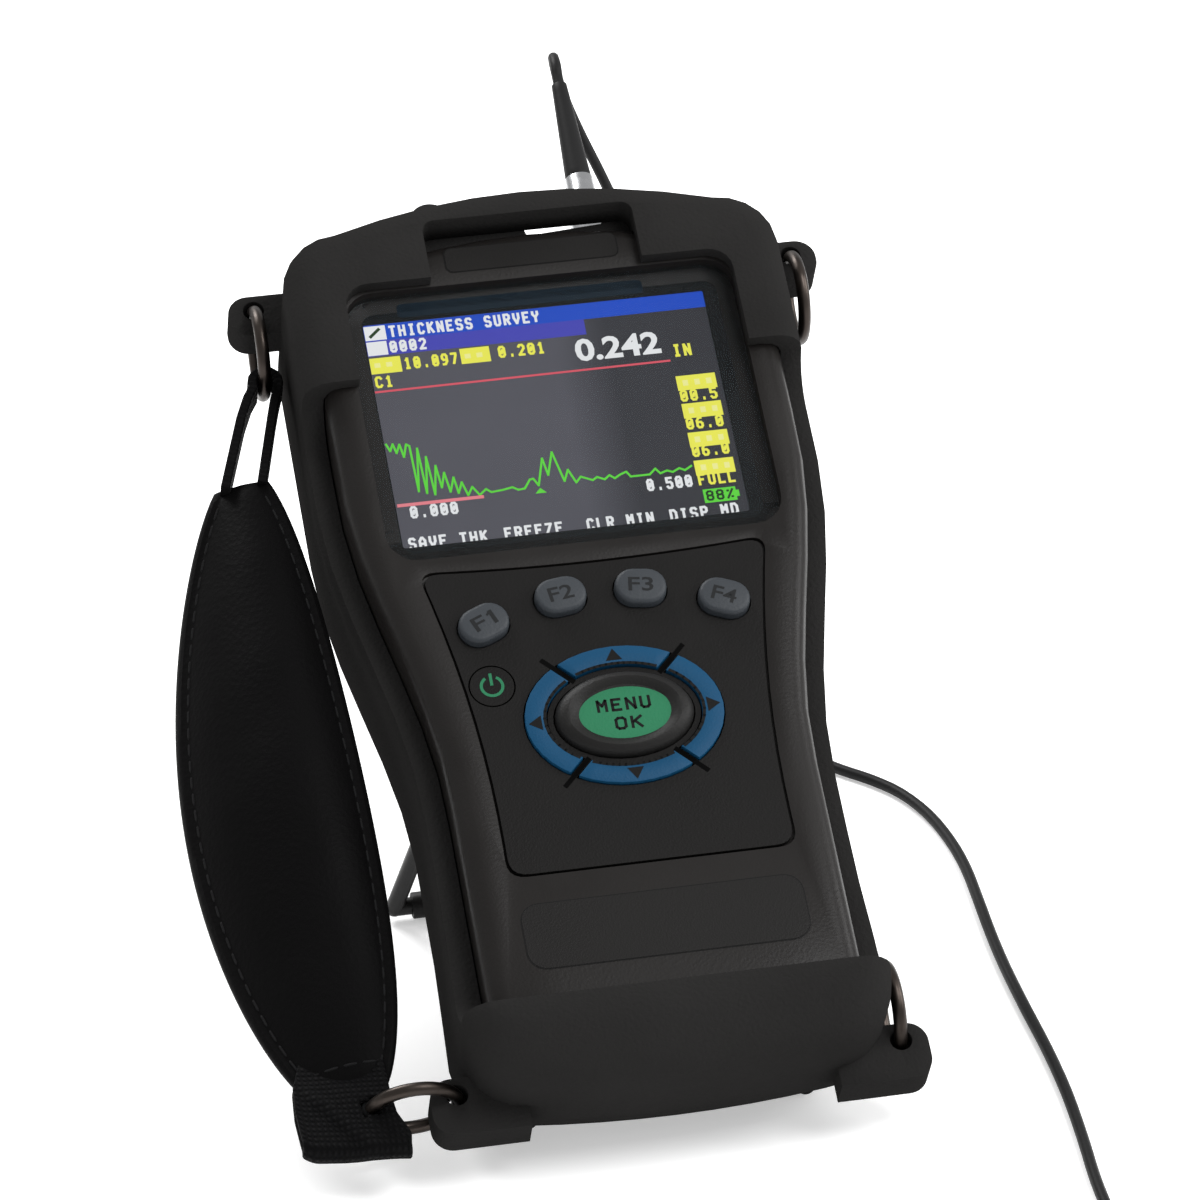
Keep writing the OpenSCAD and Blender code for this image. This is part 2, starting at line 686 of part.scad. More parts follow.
door_w = 46;
door_corner = 3;
door_margin = 4;
door_z0 = cell_z - door_margin;
door_z1 = cell_z + cell_len + door_margin;
door_mid = (door_z0 + door_z1) / 2;
module rear_case() color("#1f1d1d") leaned() difference() {
    union() {
        difference() {
            case_body(0, parting, case_depth);
            case_body(-case_wall, parting - case_wall, inner_y1);
        }
        for (p = screw_points) both_sides()
            along_y(parting, inner_y1 + 1) translate(p) circle(r = post_r);
        // Flat bosses that carry the sockets
        for (side = [-1, 1]) translate([side * socket_x, socket_y, case_z1 - case_wall - top_crown / 2])
            cylinder(r = flange_r + boss_margin, h = case_wall + top_crown / 2);
        // End walls of the battery compartment
        for (z = [cell_z - contact_t - bay_wall, cell_z + cell_len + contact_t])
            translate([case_wall / 2 - waist_half, inner_y1 - cell_d, z])
                cube([2 * waist_half - case_wall, cell_d + case_wall / 2, bay_wall]);
    }
    for (p = screw_points) both_sides() {
        along_y(parting - 1, case_depth + 1) translate(p) circle(r = screw_r + fit);
        along_y(case_depth - screw_head_h, case_depth + 1) translate(p) circle(r = screw_head_r + fit);
    }
    along_y(inner_y1 - fit, case_depth + 1) translate([0, door_mid])
        round_rect(door_w + 2 * fit, door_z1 - door_z0 + 2 * fit, door_corner);
    for (side = [-1, 1]) translate([side * socket_x, socket_y, case_z1 - reach])
        cylinder(r = socket_r + fit, h = 2 * reach);
}

module case_seal() color("#4a4a4a") leaned() along_y(parting - groove_depth + fit, parting) difference() {
    polygon(seal_outline(groove_in));
    polygon(seal_outline(groove_out));
}

module case_screws() color("#8f8f8f") leaned() for (p = screw_points) both_sides() {
    along_y(case_depth - screw_head_h, case_depth - fit) translate(p) circle(r = screw_head_r);
    along_y(parting - screw_bite, case_depth - screw_head_h) translate(p) circle(r = screw_r);
}

module battery_door() color("#262423") leaned() along_y(inner_y1, case_depth) translate([0, door_mid])
    round_rect(door_w, door_z1 - door_z0, door_corner - fit);

// Display

module display_window() color("#3c4448") leaned() along_y(lens_sink, lens_sink + lens_t)
    translate([0, display_z]) round_rect(lens_w, lens_h, lens_corner - fit);

module display_module() color("#3a3f40") leaned() {
    glass_gap = 0.3;
    module_corner = 1.5;
    glass_w = lens_w - 2 * lens_ledge - 2 * fit;
    glass_h = lens_h - 2 * lens_ledge - 2 * fit;
    along_y(lens_sink + lens_t + glass_gap, inner_y0 + module_t) translate([0, display_z])
        round_rect(glass_w, glass_h, lens_corner - lens_ledge);
    along_y(inner_y0, inner_y0 + module_t) translate([0, display_z])
        round_rect(lens_w, lens_h - 2 * lens_ledge, module_corner);
}

// Keypad

ellipse_steps = 40;
function ellipse(a, b) =
    [for (i = [0:ellipse_steps - 1]) let (t = 360 * i / ellipse_steps) [a * cos(t), b * sin(t)]];

// Quarter of the direction ring between two slots, towards the direction turn
module quarter_shape(turn, grow) {
    far = 2 * pad_a;
    intersection() {
        difference() {
            polygon(ellipse(pad_a + grow, pad_b + grow));
            polygon(ellipse(pad_a - pad_band - grow, pad_b - pad_band - grow));
            for (a = [45, 135]) rotate(a) translate([-far, grow - pad_slot / 2])
                square([2 * far, pad_slot - 2 * grow]);
        }
        rotate(turn) polygon([[0, 0], [far, -far], [far, far]]);
    }
}

menu_web = 1.4;
menu_a = pad_a - pad_band - menu_web;
menu_b = pad_b - pad_band - menu_web;
softkey_r = softkey_h / 2 - 0.1;
inner_turn = asin(softkey_pitch / 2 / softkey_arc);
softkey_places = [for (i = [-1.5, -0.5, 0.5, 1.5])
    let (a = asin(i * softkey_pitch / softkey_arc))
    [i * softkey_pitch, softkey_z + softkey_arc * (cos(a) - cos(inner_turn)), -a]];

module all_key_shapes(grow) {
    for (p = softkey_places) translate([p[0], p[1]]) rotate(p[2])
        round_rect(softkey_w + 2 * grow, softkey_h + 2 * grow, softkey_r + grow);
    translate([0, pad_z]) {
        for (turn = [0:90:270]) quarter_shape(turn, grow);
        polygon(ellipse(menu_a + grow, menu_b + grow));
    }
    translate([-power_x, power_z]) circle(r = power_r + grow);
}

// Depth at which the shaft of every key ends above the switch domes
dome_h = 0.25;
dome_clear = 0.1;
key_low = inner_y0 - dome_h - key_travel - dome_clear;

module keypad_panel() color("#242221") leaned() along_y(0, panel_t) difference() {
    polygon(panel_outline(0));
    all_key_shapes(key_gap);
}

// Softkey with a rounded top edge
function softkey_ring(inset, y) = at_depth(rect_outline(softkey_w, softkey_h, softkey_r, inset), y);
module softkey(place) color("#5a5a5e") leaned() {
    top_edge = 0.8;
    steps = 4;
    rings = concat(
        [for (i = [0:steps]) let (a = 90 * i / steps)
            softkey_ring(top_edge * (1 - sin(a)), -softkey_rise + top_edge * (1 - cos(a)))],
        [softkey_ring(0, key_low)]);
    translate([place[0], 0, place[1]]) rotate([0, -place[2], 0]) loft(rings);
}
module key_f1() softkey(softkey_places[0]);
module key_f2() softkey(softkey_places[1]);
module key_f3() softkey(softkey_places[2]);
module key_f4() softkey(softkey_places[3]);

module direction_key(turn) color("#2a5d8f") leaned() along_y(-pad_rise, key_low)
    translate([0, pad_z]) quarter_shape(turn, 0);
module key_right() direction_key(0);
module key_up() direction_key(90);
module key_left() direction_key(180);
module key_down() direction_key(270);

// Menu key with a raised rim round a dished middle
module key_menu() color("#2f9a5f") leaned() translate([0, 0, pad_z]) {
    // Share of the key's half width and height, and depth, from the middle of the dish out
    profile = [[0.66, -menu_rise + 0.8], [0.74, -menu_rise + 0.25], [0.82, -menu_rise],
        [0.91, -menu_rise + 0.3], [0.97, -menu_rise + 0.9], [1, -pad_rise / 2], [1, key_low]];
    loft([for (p = profile) at_depth(ellipse(menu_a * p[0], menu_b * p[0]), p[1])]);
}

module key_power() color("#262423") leaned() along_y(0, key_low) translate([-power_x, power_z])
    circle(r = power_r);

dome_sheet_t = 0.6;
module dome_sheet() color("#8a8f94") leaned() {
    dome_r = 2;
    slim_dome_r = pad_band / 2 - 0.2;
    sheet_side = 2;
    sheet_corner = 3;
    ring_mid_a = pad_a - pad_band / 2;
    ring_mid_b = pad_b - pad_band / 2;
    along_y(inner_y0, inner_y0 + dome_sheet_t) translate([0, (panel_top + panel_low) / 2])
        round_rect(2 * (panel_low_half + sheet_side), panel_top - panel_low - 2 * sheet_side,
            sheet_corner);
    along_y(inner_y0 - dome_h, inner_y0 + dome_sheet_t / 2) {
        for (p = softkey_places) translate([p[0], p[1]]) circle(r = dome_r);
        for (side = [-1, 1]) {
            translate([side * ring_mid_a, pad_z]) circle(r = slim_dome_r);
            translate([0, pad_z + side * ring_mid_b]) circle(r = slim_dome_r);
        }
        translate([0, pad_z]) circle(r = dome_r);
        translate([-power_x, power_z]) circle(r = dome_r);
    }
}

// Electronics

board_y = inner_y0 + board_off;
shield_t = 5;
shield_z = display_z - 3;
shield_w = 36;
shield_h = 30;
shield_corner = 1.5;
module main_board() color("#2f6b45") leaned() {
    board_low = 25;
    board_mid = panel_top + 5;
    board_top = case_z1 - 7.5;
    board_gap = 0.4;
    step_h = 6;
    low_half = screw_points[1][0] - post_r - board_gap;
    top_half = 28;
    right = [[low_half, board_low], [low_half, board_mid], [top_half, board_mid + step_h],
        [top_half, board_top]];
    along_y(board_y, board_y + board_t)
        polygon(concat(right, [for (i = [len(right) - 1:-1:0]) [-right[i][0], right[i][1]]]));
}

module board_shield() color("#b9bcc0") leaned() along_y(board_y + board_t, board_y + board_t + shield_t)
    translate([0, shield_z]) round_rect(shield_w, shield_h, shield_corner);

cell_y = inner_y1 - cell_d / 2;
contact_w = 8;
module battery_cells() color("#8f7a3a") leaned() for (i = [-1:1])
    translate([i * (cell_d + fit), cell_y, cell_z]) {
        nub_h = 1.2;
        cylinder(d = cell_d, h = cell_len - nub_h);
        cylinder(d = cell_d / 3, h = cell_len);
    }

module battery_contacts() color("#c9b27a") leaned() for (z = [cell_z - contact_t, cell_z + cell_len])
    translate([-1.5 * cell_d, cell_y - contact_w / 2, z]) cube([3 * cell_d, contact_w, contact_t]);

// Sockets, cap, plug and cable

flange_r = 5;
flange_h = 2;
boss_margin = 0.6;
plug_slip = 0.1;
socket_bore_r = plug_r + plug_slip;
socket_depth = 12;
pin_short = 1;
rim_inset = 0.4;
module socket(x) color("#9a9ca0") leaned() translate([x, socket_y, case_z1]) difference() {
    union() {
        translate([0, 0, -socket_depth]) cylinder(r = socket_r, h = socket_depth + eps);
        cylinder(r = flange_r, h = flange_h);
    }
    translate([0, 0, -socket_depth / 2]) cylinder(r = socket_bore_r, h = socket_depth);
}
module left_socket() socket(-socket_x);
module right_socket() socket(socket_x);

// Rubber cap with a round pull tab
module dust_cap() color("#161616") leaned() translate([-socket_x, socket_y, case_z1 + flange_h]) {
    tab_r = 3.6;
    tab_hole_r = 1.6;
    tab_t = 3;
    cylinder(r = flange_r - rim_inset, h = cap_h);
    translate([0, 0, pin_short - flange_h - socket_depth / 2])
        cylinder(r = plug_r, h = socket_depth / 2 + flange_h);
    translate([0, tab_t / 2, cap_h + tab_r - 1]) rotate([90, 0, 0]) difference() {
        cylinder(r = tab_r, h = tab_t);
        translate([0, 0, -1]) cylinder(r = tab_hole_r, h = tab_t + 2);
    }
}

module cable_plug() color("#c3c6ca") leaned() translate([socket_x, socket_y, case_z1]) {
    grip_r = plug_r + 0.6;
    grip_h = 9;
    translate([0, 0, pin_short - socket_depth / 2])
        cylinder(r = plug_r, h = plug_len + socket_depth / 2 - pin_short);
    translate([0, 0, flange_h]) cylinder(r = grip_r, h = grip_h);
}

relief_step = 0.2;
relief_lip = 0.35;
module cable_relief() color("#141414") leaned() translate([socket_x, socket_y, case_z1 + plug_len])
    cylinder(r1 = plug_r - relief_step, r2 = cable_d / 2 + relief_lip, h = relief_len);

// Place of a point of the gauge's own frame on the table's axes
function on_table(p) =
    [p[0], p[1] * cos(lean) + p[2] * sin(lean), lift - p[1] * sin(lean) + p[2] * cos(lean)];

relief_end = on_table([socket_x, socket_y, case_z1 + plug_len + relief_len]);
table_z = cable_d / 2;
// Route of the cable from the bend relief, over its loop and down behind the gauge, then to the coil
relief_way = [0, sin(lean), cos(lean)];
cable_route = concat([for (d = [0, 1, 2]) relief_end + d * relief_way],
    [[13.7, 175, 122.2], [13.9, 177.9, 122.4], [14.4, 180.9, 120.9], [15.1, 182.9, 117.9],
     [16, 183.8, 114.2], [17.8, 184.6, 109], [20.2, 185.4, 103], [23.2, 186.2, 96], [27, 187.2, 86.5],
     [31, 188, 75], [35, 188.3, 62], [38.5, 187.5, 48], [41.3, 185, 34.5], [43.3, 180.5, 21.5],
     [44.6, 173.5, 11.5], [45.3, 165, 5], [45.7, 156.5, 1.8]],
    [for (p = [[46.1, 148.5], [47, 141], [49.2, 134.5], [53, 129], [57.5, 123.8], [61.4, 117.6],
        [64.2, 109], [65.6, 99], [65.9, 89], [65.3, 78], [64.5, 66], [64, 54], [63.9, 40], [64, 26],
        [63.6, 12], [62.5, -2], [61.3, -14], [60.8, -24], [60.8, -34]]) [p[0], p[1], table_z]]);

cable_sides = 8;
function direction_at(route, i) =
    let (d = route[min(i + 1, len(route) - 1)] - route[max(i - 1, 0)]) d / norm(d);
function across(d) = let (c = cross(d, [0, 0, 1]), n = norm(c)) n > 0.01 ? c / n : [1, 0, 0];
function tube_ring(route, i, r) =
    let (d = direction_at(route, i), u = across(d), v = cross(u, d))
    [for (k = [0:cable_sides - 1]) let (a = 360 * (k + 0.5) / cable_sides)
        route[i] + (u * cos(a) + v * sin(a)) * r / cos(180 / cable_sides)];
function between(route, steps) = [for (i = [0:len(route) - 2], s = [0:steps - 1])
    let (t = s / steps, a = route[max(i - 1, 0)], b = route[i])
    let (c = route[i + 1], d = route[min(i + 2, len(route) - 1)])
    let (k2 = 2 * a - 5 * b + 4 * c - d, k3 = 3 * b - a - 3 * c + d)
    let (p = (2 * b + (c - a) * t + k2 * t ^ 2 + k3 * t ^ 3) / 2)
    [p[0], p[1], max(p[2], table_z)]];

module on_floor() {
    translate([-middle[0], -middle[1], 0]) children();
}

module cable_tube(route, steps) {
    fine = concat(between(route, steps), [route[len(route) - 1]]);
    loft([for (i = [0:len(fine) - 1]) tube_ring(fine, i, cable_d / 2)]);
}

module probe_cable() color("#141414") on_floor() cable_tube(cable_route, 2);

// Coil of the length that is put away, with its tie and the probe beside it
coil_w = 13;
coil_corner = 1;
cord_gap = 0.05;
lead_len = 18;
lead_r = table_z - 0.1;
outer_turn = coil_r + coil_w / 2 - table_z;
coil_start = cable_route[len(cable_route) - 1];
coil_mid = coil_start - [outer_turn, cord_gap + lead_len, table_z];
tail_z = table_z + cable_d;
module cable_coil() color("#161616") on_floor() translate(coil_mid) {
    rotate_extrude() translate([coil_r, coil_h / 2]) round_rect(coil_w, coil_h, coil_corner);
    translate([outer_turn, 0, table_z]) rotate([-90, 0, 0]) cylinder(r = lead_r, h = lead_len);
    translate([0, -outer_turn, tail_z]) rotate([0, -90, 0]) cylinder(r = lead_r, h = lead_len);
}

tie_t = 0.8;
tie_turn = 30;
module coil_tie() color("#2a2a2c") on_floor() translate(coil_mid) rotate([0, 0, 180 - tie_turn / 2])
    rotate_extrude(angle = tie_turn) translate([coil_r, 0]) difference() {
        translate([-coil_w / 2 - tie_t - fit, 0])
            square([coil_w + 2 * (tie_t + fit), coil_h + tie_t + fit]);
        translate([-coil_w / 2 - fit, -1]) square([coil_w + 2 * fit, coil_h + 1 + fit]);
    }

tail_len = 6;
probe_arm = probe_r + 5;
probe_chamfer = 1;
face_inset = 0.5;
tail_start = coil_mid + [-lead_len - cord_gap, -outer_turn, tail_z];
probe_mid = tail_start - [tail_len + probe_arm, 0, tail_z];
module probe_tail() color("#141414") on_floor()
    cable_tube([tail_start, tail_start - [tail_len, 0, 0]], 3);

module probe_body() color("#a7aaae") on_floor() translate(probe_mid) {
    arm_r = 1.6;
    translate([0, 0, wear_t]) cylinder(r = probe_r, h = probe_h - wear_t - probe_chamfer);
    translate([0, 0, probe_h - probe_chamfer])
        cylinder(r1 = probe_r, r2 = probe_r - probe_chamfer, h = probe_chamfer);
    translate([0, 0, tail_z]) rotate([0, 90, 0]) cylinder(r = arm_r, h = probe_arm);
}

module probe_face() color("#6b5a3c") on_floor() translate(probe_mid)
    cylinder(r = probe_r - face_inset, h = wear_t);

boot();
upper_left_ring();
upper_right_ring();
lower_left_ring();
lower_right_ring();
strap_pad();
strap_top_loop();
strap_bottom_loop();
tilt_stand();
stand_sleeves();
front_case();
rear_case();
case_seal();
case_screws();
display_window();
display_module();
keypad_panel();
key_f1();
key_f2();
key_f3();
key_f4();
key_up();
key_down();
key_left();
key_right();
key_menu();
key_power();
dome_sheet();
main_board();
board_shield();
battery_cells();
battery_contacts();
battery_door();
left_socket();
right_socket();
dust_cap();
cable_plug();
cable_relief();
probe_cable();
cable_coil();
coil_tie();
probe_tail();
probe_body();
probe_face();
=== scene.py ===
# Looks of a handheld ultrasonic thickness gauge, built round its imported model.
import math

import bpy
from mathutils import Matrix, Vector


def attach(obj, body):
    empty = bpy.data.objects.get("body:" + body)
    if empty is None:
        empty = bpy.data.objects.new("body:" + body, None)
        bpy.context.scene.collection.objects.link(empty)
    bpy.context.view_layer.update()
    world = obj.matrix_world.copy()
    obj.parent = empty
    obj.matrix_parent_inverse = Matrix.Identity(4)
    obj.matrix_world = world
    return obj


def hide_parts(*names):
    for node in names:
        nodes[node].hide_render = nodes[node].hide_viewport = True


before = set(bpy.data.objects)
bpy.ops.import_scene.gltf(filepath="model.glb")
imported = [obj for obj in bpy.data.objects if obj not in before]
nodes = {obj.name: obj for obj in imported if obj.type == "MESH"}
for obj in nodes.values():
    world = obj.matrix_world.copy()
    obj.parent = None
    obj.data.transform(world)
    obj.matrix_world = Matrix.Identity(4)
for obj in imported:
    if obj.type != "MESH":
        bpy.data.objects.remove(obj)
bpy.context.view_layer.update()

# The gauge's own frame, in mm: x right, y back from the face, z up the face
LEAN = math.radians(56)
GAUGE = (
    Matrix.Translation((0.0101, -0.078, 0.0233874))
    @ Matrix.Rotation(-LEAN, 4, "X")
    @ Matrix.Scale(0.001, 4)
)
TABLE = Matrix.Translation((0.0101, -0.078, 0)) @ Matrix.Scale(0.001, 4)


# Camera

EYE = Vector((-0.14353, -0.87346, 0.50686))
AIM = Vector((0.00939, -0.01144, 0.07159))
ROLL = math.radians(-1.86)


def make_camera():
    data = bpy.data.cameras.new("camera")
    data.sensor_width = 36
    data.lens = 180.2
    camera = bpy.data.objects.new("camera", data)
    bpy.context.collection.objects.link(camera)
    turn = (AIM - EYE).to_track_quat("-Z", "Y").to_matrix().to_4x4()
    camera.matrix_world = Matrix.Translation(EYE) @ turn @ Matrix.Rotation(ROLL, 4, "Z")
    bpy.context.scene.camera = camera


make_camera()


# Materials


class Shader:
    """A Principled material whose colour, roughness and bump come from its nodes."""

    def __init__(self, name, color, rough, metal=0.0, **sockets):
        self.material = bpy.data.materials.new(name)
        self.material.use_nodes = True
        self.material.diffuse_color = (*color, 1)
        self.tree = self.material.node_tree
        self.bsdf = self.tree.nodes["Principled BSDF"]
        self.color = color
        self.rough = rough
        self.bsdf.inputs["Base Color"].default_value = (*color, 1)
        self.bsdf.inputs["Roughness"].default_value = rough
        self.bsdf.inputs["Metallic"].default_value = metal
        for key, value in sockets.items():
            self.bsdf.inputs[key.replace("_", " ")].default_value = value
        self.coord = self.node("ShaderNodeTexCoord")

    def node(self, kind, **values):
        made = self.tree.nodes.new(kind)
        for key, value in values.items():
            if key in made.inputs:
                made.inputs[key].default_value = value
            else:
                setattr(made, key, value)
        return made

    def link(self, source, target):
        self.tree.links.new(source, target)

    def noise(self, scale, detail=3.0, stretch=None):
        made = self.node("ShaderNodeTexNoise", Scale=scale, Detail=detail)
        source = self.coord.outputs["Object"]
        if stretch:
            mapping = self.node("ShaderNodeMapping")
            mapping.inputs["Scale"].default_value = stretch
            self.link(source, mapping.inputs["Vector"])
            source = mapping.outputs["Vector"]
        self.link(source, made.inputs["Vector"])
        return made.outputs["Fac"]

    def cells(self, scale):
        made = self.node("ShaderNodeTexVoronoi", Scale=scale)
        self.link(self.coord.outputs["Object"], made.inputs["Vector"])
        return made.outputs["Distance"]

    def spread(self, value, low, high, span=(0.3, 0.7)):
        """Value mapped from a span, by default that of most noise, to low and high."""
        made = self.node("ShaderNodeMapRange")
        for key, number in zip(("From Min", "From Max", "To Min", "To Max"), (*span, low, high)):
            made.inputs[key].default_value = number
        self.link(value, made.inputs["Value"])
        return made.outputs["Result"]

    def vary_color(self, value, dark, light):
        mix = self.node("ShaderNodeMix", data_type="RGBA")
        for socket, tint in ((mix.inputs[6], dark), (mix.inputs[7], light)):
            socket.default_value = (*[c * tint for c in self.color], 1)
        self.link(value, mix.inputs[0])
        self.link(mix.outputs[2], self.bsdf.inputs["Base Color"])
        return self

    def vary_rough(self, value, amount):
        varied = self.spread(value, self.rough - amount, self.rough + amount)
        self.link(varied, self.bsdf.inputs["Roughness"])
        return self

    def bump(self, heights, strength, distance=0.0002):
        """Bump of several heights, each with its share of the strength; distance in metres."""
        normal = None
        for height, share in heights:
            made = self.node("ShaderNodeBump")
            made.inputs["Strength"].default_value = strength * share
            made.inputs["Distance"].default_value = distance
            self.link(height, made.inputs["Height"])
            if normal:
                self.link(normal, made.inputs["Normal"])
            normal = made.outputs["Normal"]
        self.link(normal, self.bsdf.inputs["Normal"])
        return self


def moulded(name, color, rough, grain, strength, tint=0.2, **sockets):
    """Moulded rubber or plastic with a spark-eroded grain of the given size in mm."""
    sockets.setdefault("Specular_IOR_Level", 0.16)
    made = Shader(name, color, rough, **sockets)
    fine = made.noise(1000 / grain, 4)
    broad = made.noise(45, 4)
    made.vary_color(broad, 1 - tint, 1 + tint).vary_rough(broad, 0.08)
    return made.bump([(made.cells(700 / grain), 0.5), (fine, 1.0)], strength).material


def metal(name, color, rough):
    """Plated or turned metal with faint drawing marks."""
    made = Shader(name, color, rough, metal=1.0)
    marks = made.noise(700, 3, stretch=(1, 1, 0.12))
    made.vary_color(made.noise(120), 0.75, 1.25).vary_rough(marks, 0.1)
    return made.bump([(marks, 1.0)], 0.1, 0.0001).material


def woven(name, color, rough, pitch):
    """Webbing whose warp and weft run along its UV axes, in mm."""
    made = Shader(name, color, rough, Sheen_Weight=0.01, Sheen_Roughness=0.5, Specular_IOR_Level=0.05)
    waves = []
    for axis in ("X", "Y"):
        wave = made.node("ShaderNodeTexWave", bands_direction=axis, Scale=0.314 / pitch, Distortion=0.4)
        made.link(made.coord.outputs["UV"], wave.inputs["Vector"])
        waves.append(wave.outputs["Fac"])
    mixed = made.node("ShaderNodeMath", operation="MULTIPLY")
    made.link(waves[0], mixed.inputs[0])
    made.link(waves[1], mixed.inputs[1])
    made.vary_color(mixed.outputs[0], 0.6, 1.5).vary_rough(made.noise(900), 0.08)
    return made.bump([(mixed.outputs[0], 1.0), (made.noise(2500), 0.4)], 0.6, 0.0004).material


def lit(name, color, painted_shade=None):
    """Light of the display, a little uneven at random as a backlight is, and dimmed along x by painted shade
    where asked.

    The last argument paints shade over the light: where along x, in metres, the light starts and ends to
    change, and its strength before and after.
    """
    made = Shader(name, (0.006, 0.006, 0.006), 0.5, Specular_IOR_Level=0.08, Emission_Strength=1.0)
    mix = made.node("ShaderNodeMix", data_type="RGBA")
    mix.inputs[6].default_value = (*[c * 0.9 for c in color], 1)
    mix.inputs[7].default_value = (*[min(c * 1.1, 1) for c in color], 1)
    made.link(made.noise(60, 2), mix.inputs[0])
    made.link(mix.outputs[2], made.bsdf.inputs["Emission Color"])
    # Painted shade: the emission strength falls along x
    if painted_shade:
        place = made.node("ShaderNodeSeparateXYZ")
        made.link(made.coord.outputs["Object"], place.inputs["Vector"])
        ramp = made.spread(place.outputs["X"], *painted_shade[2:], span=painted_shade[:2])
        made.link(ramp, made.bsdf.inputs["Emission Strength"])
    made.material.diffuse_color = (*color, 1)
    return made.material


RUBBER = moulded("boot_rubber", (0.0175, 0.017, 0.0167), 0.6, 0.55, 0.6, Specular_IOR_Level=0.0)
CASE = moulded("case_plastic", (0.0092, 0.0082, 0.0077), 0.4, 0.42, 0.13, Specular_IOR_Level=0.12)
FILM = moulded("keypad_film", (0.0068, 0.0064, 0.0062), 0.46, 0.3, 0.18, Specular_IOR_Level=0.07)
PRINT = moulded("dark_print", (0.0022, 0.0022, 0.0022), 0.5, 0.3, 0.1, Specular_IOR_Level=0.1)
KEY_PRINT = moulded("key_print", (0.0085, 0.0092, 0.01), 0.5, 0.3, 0.1, Specular_IOR_Level=0.12)
# Painted shade for the slots between the direction keys
SLOT_SHADE = moulded("slot_painted_shade", (0.0012, 0.0012, 0.0012), 0.8, 0.3, 0.05, Specular_IOR_Level=0.03)
SOFT_CAP = moulded("cap_rubber", (0.008, 0.0078, 0.0076), 0.45, 0.6, 0.2)
GREY_KEY = moulded("grey_key", (0.0255, 0.0295, 0.0345), 0.5, 0.35, 0.2, Specular_IOR_Level=0.2)
DARK_KEY = moulded("dark_key", (0.009, 0.0087, 0.0084), 0.5, 0.35, 0.2, Specular_IOR_Level=0.14)
BLUE = moulded("blue_print", (0.0042, 0.045, 0.102), 0.48, 0.35, 0.2, tint=0.06, Specular_IOR_Level=0.1)
GREEN = moulded("green_print", (0.0175, 0.132, 0.062), 0.48, 0.35, 0.2, tint=0.06, Specular_IOR_Level=0.1)
SEAL = moulded("seal_silicone", (0.09, 0.09, 0.09), 0.6, 0.6, 0.15)
PLATE = moulded("plate_film", (0.0078, 0.0073, 0.007), 0.42, 0.25, 0.12, Specular_IOR_Level=0.09)
# Painted reflection for the strip over the display window
TEAL_REFLECTION = moulded("teal_painted_reflection", (0.004, 0.010, 0.017), 0.3, 0.3, 0.08)
BLACK_RIM = moulded("black_rim", (0.003, 0.003, 0.0032), 0.28, 0.3, 0.05)
BOARD = moulded("board_green", (0.02, 0.11, 0.05), 0.45, 0.8, 0.2)
CELL_WRAP = moulded("cell_wrap", (0.28, 0.2, 0.05), 0.3, 1.0, 0.05)
WEAR = moulded("wear_plate", (0.2, 0.14, 0.06), 0.25, 0.4, 0.05)
JACKET = moulded("cable_jacket", (0.0082, 0.0081, 0.0083), 0.5, 0.5, 0.1, Specular_IOR_Level=0.12)
RING = metal("ring_bronze", (0.04, 0.033, 0.029), 0.38)
COATED = moulded("coated_wire", (0.009, 0.0088, 0.0086), 0.34, 0.5, 0.1, Specular_IOR_Level=0.25)
NICKEL = metal("nickel", (0.39, 0.395, 0.405), 0.24)
STEEL = metal("steel", (0.42, 0.42, 0.44), 0.32)
BRASS = metal("contact_brass", (0.62, 0.46, 0.2), 0.3)
WEB = woven("webbing", (0.0026, 0.0025, 0.0028), 0.75, 0.9)
THREAD = woven("thread", (0.012, 0.012, 0.0125), 0.6, 0.3)


def pad_material():
    """Thin black leather with creases, cells and a fine grain."""
    made = Shader(
        "pad_leather", (0.0023, 0.0022, 0.0023), 0.5,
        Specular_IOR_Level=0.025, Sheen_Weight=0.01, Sheen_Roughness=0.45,
    )
    cells = made.cells(1100)
    broad = made.noise(28, 5)
    made.vary_color(broad, 0.75, 1.35).vary_rough(broad, 0.09)
    creases, grain = made.noise(160, 4), made.noise(3000, 2)
    return made.bump([(creases, 0.7), (cells, 0.5), (grain, 0.4)], 0.3, 0.0003).material


PAD = pad_material()


def window_material():
    """Clear hard lens, faintly grey."""
    made = Shader("window", (0.02, 0.03, 0.035), 0.08, Alpha=0.08, Specular_IOR_Level=0.14)
    return made.vary_rough(made.noise(90), 0.03).material


WINDOW = window_material()
# Painted shade: the display's back dims towards its right side
SCREEN_PAINTED_SHADE = (0.0115, 0.0205, 1.25, 0.5)
SCREEN = {
    "back": lit("screen_back", (0.072, 0.071, 0.086), SCREEN_PAINTED_SHADE),
    "title": lit("screen_title", (0.012, 0.072, 0.56)),
    "title_low": lit("screen_title_low", (0.062, 0.062, 0.47)),
    "white": lit("screen_white", (0.86, 0.88, 0.9)),
    "yellow": lit("screen_yellow", (0.93, 0.91, 0.10)),
    "yellow_pale": lit("screen_yellow_pale", (0.97, 0.96, 0.34)),
    "red": lit("screen_red", (0.75, 0.10, 0.14)),
    "pink": lit("screen_pink", (0.85, 0.24, 0.28)),
    "green": lit("screen_green", (0.12, 0.72, 0.05)),
    "dark": lit("screen_dark", (0.02, 0.05, 0.015)),
}


# Geometry helpers


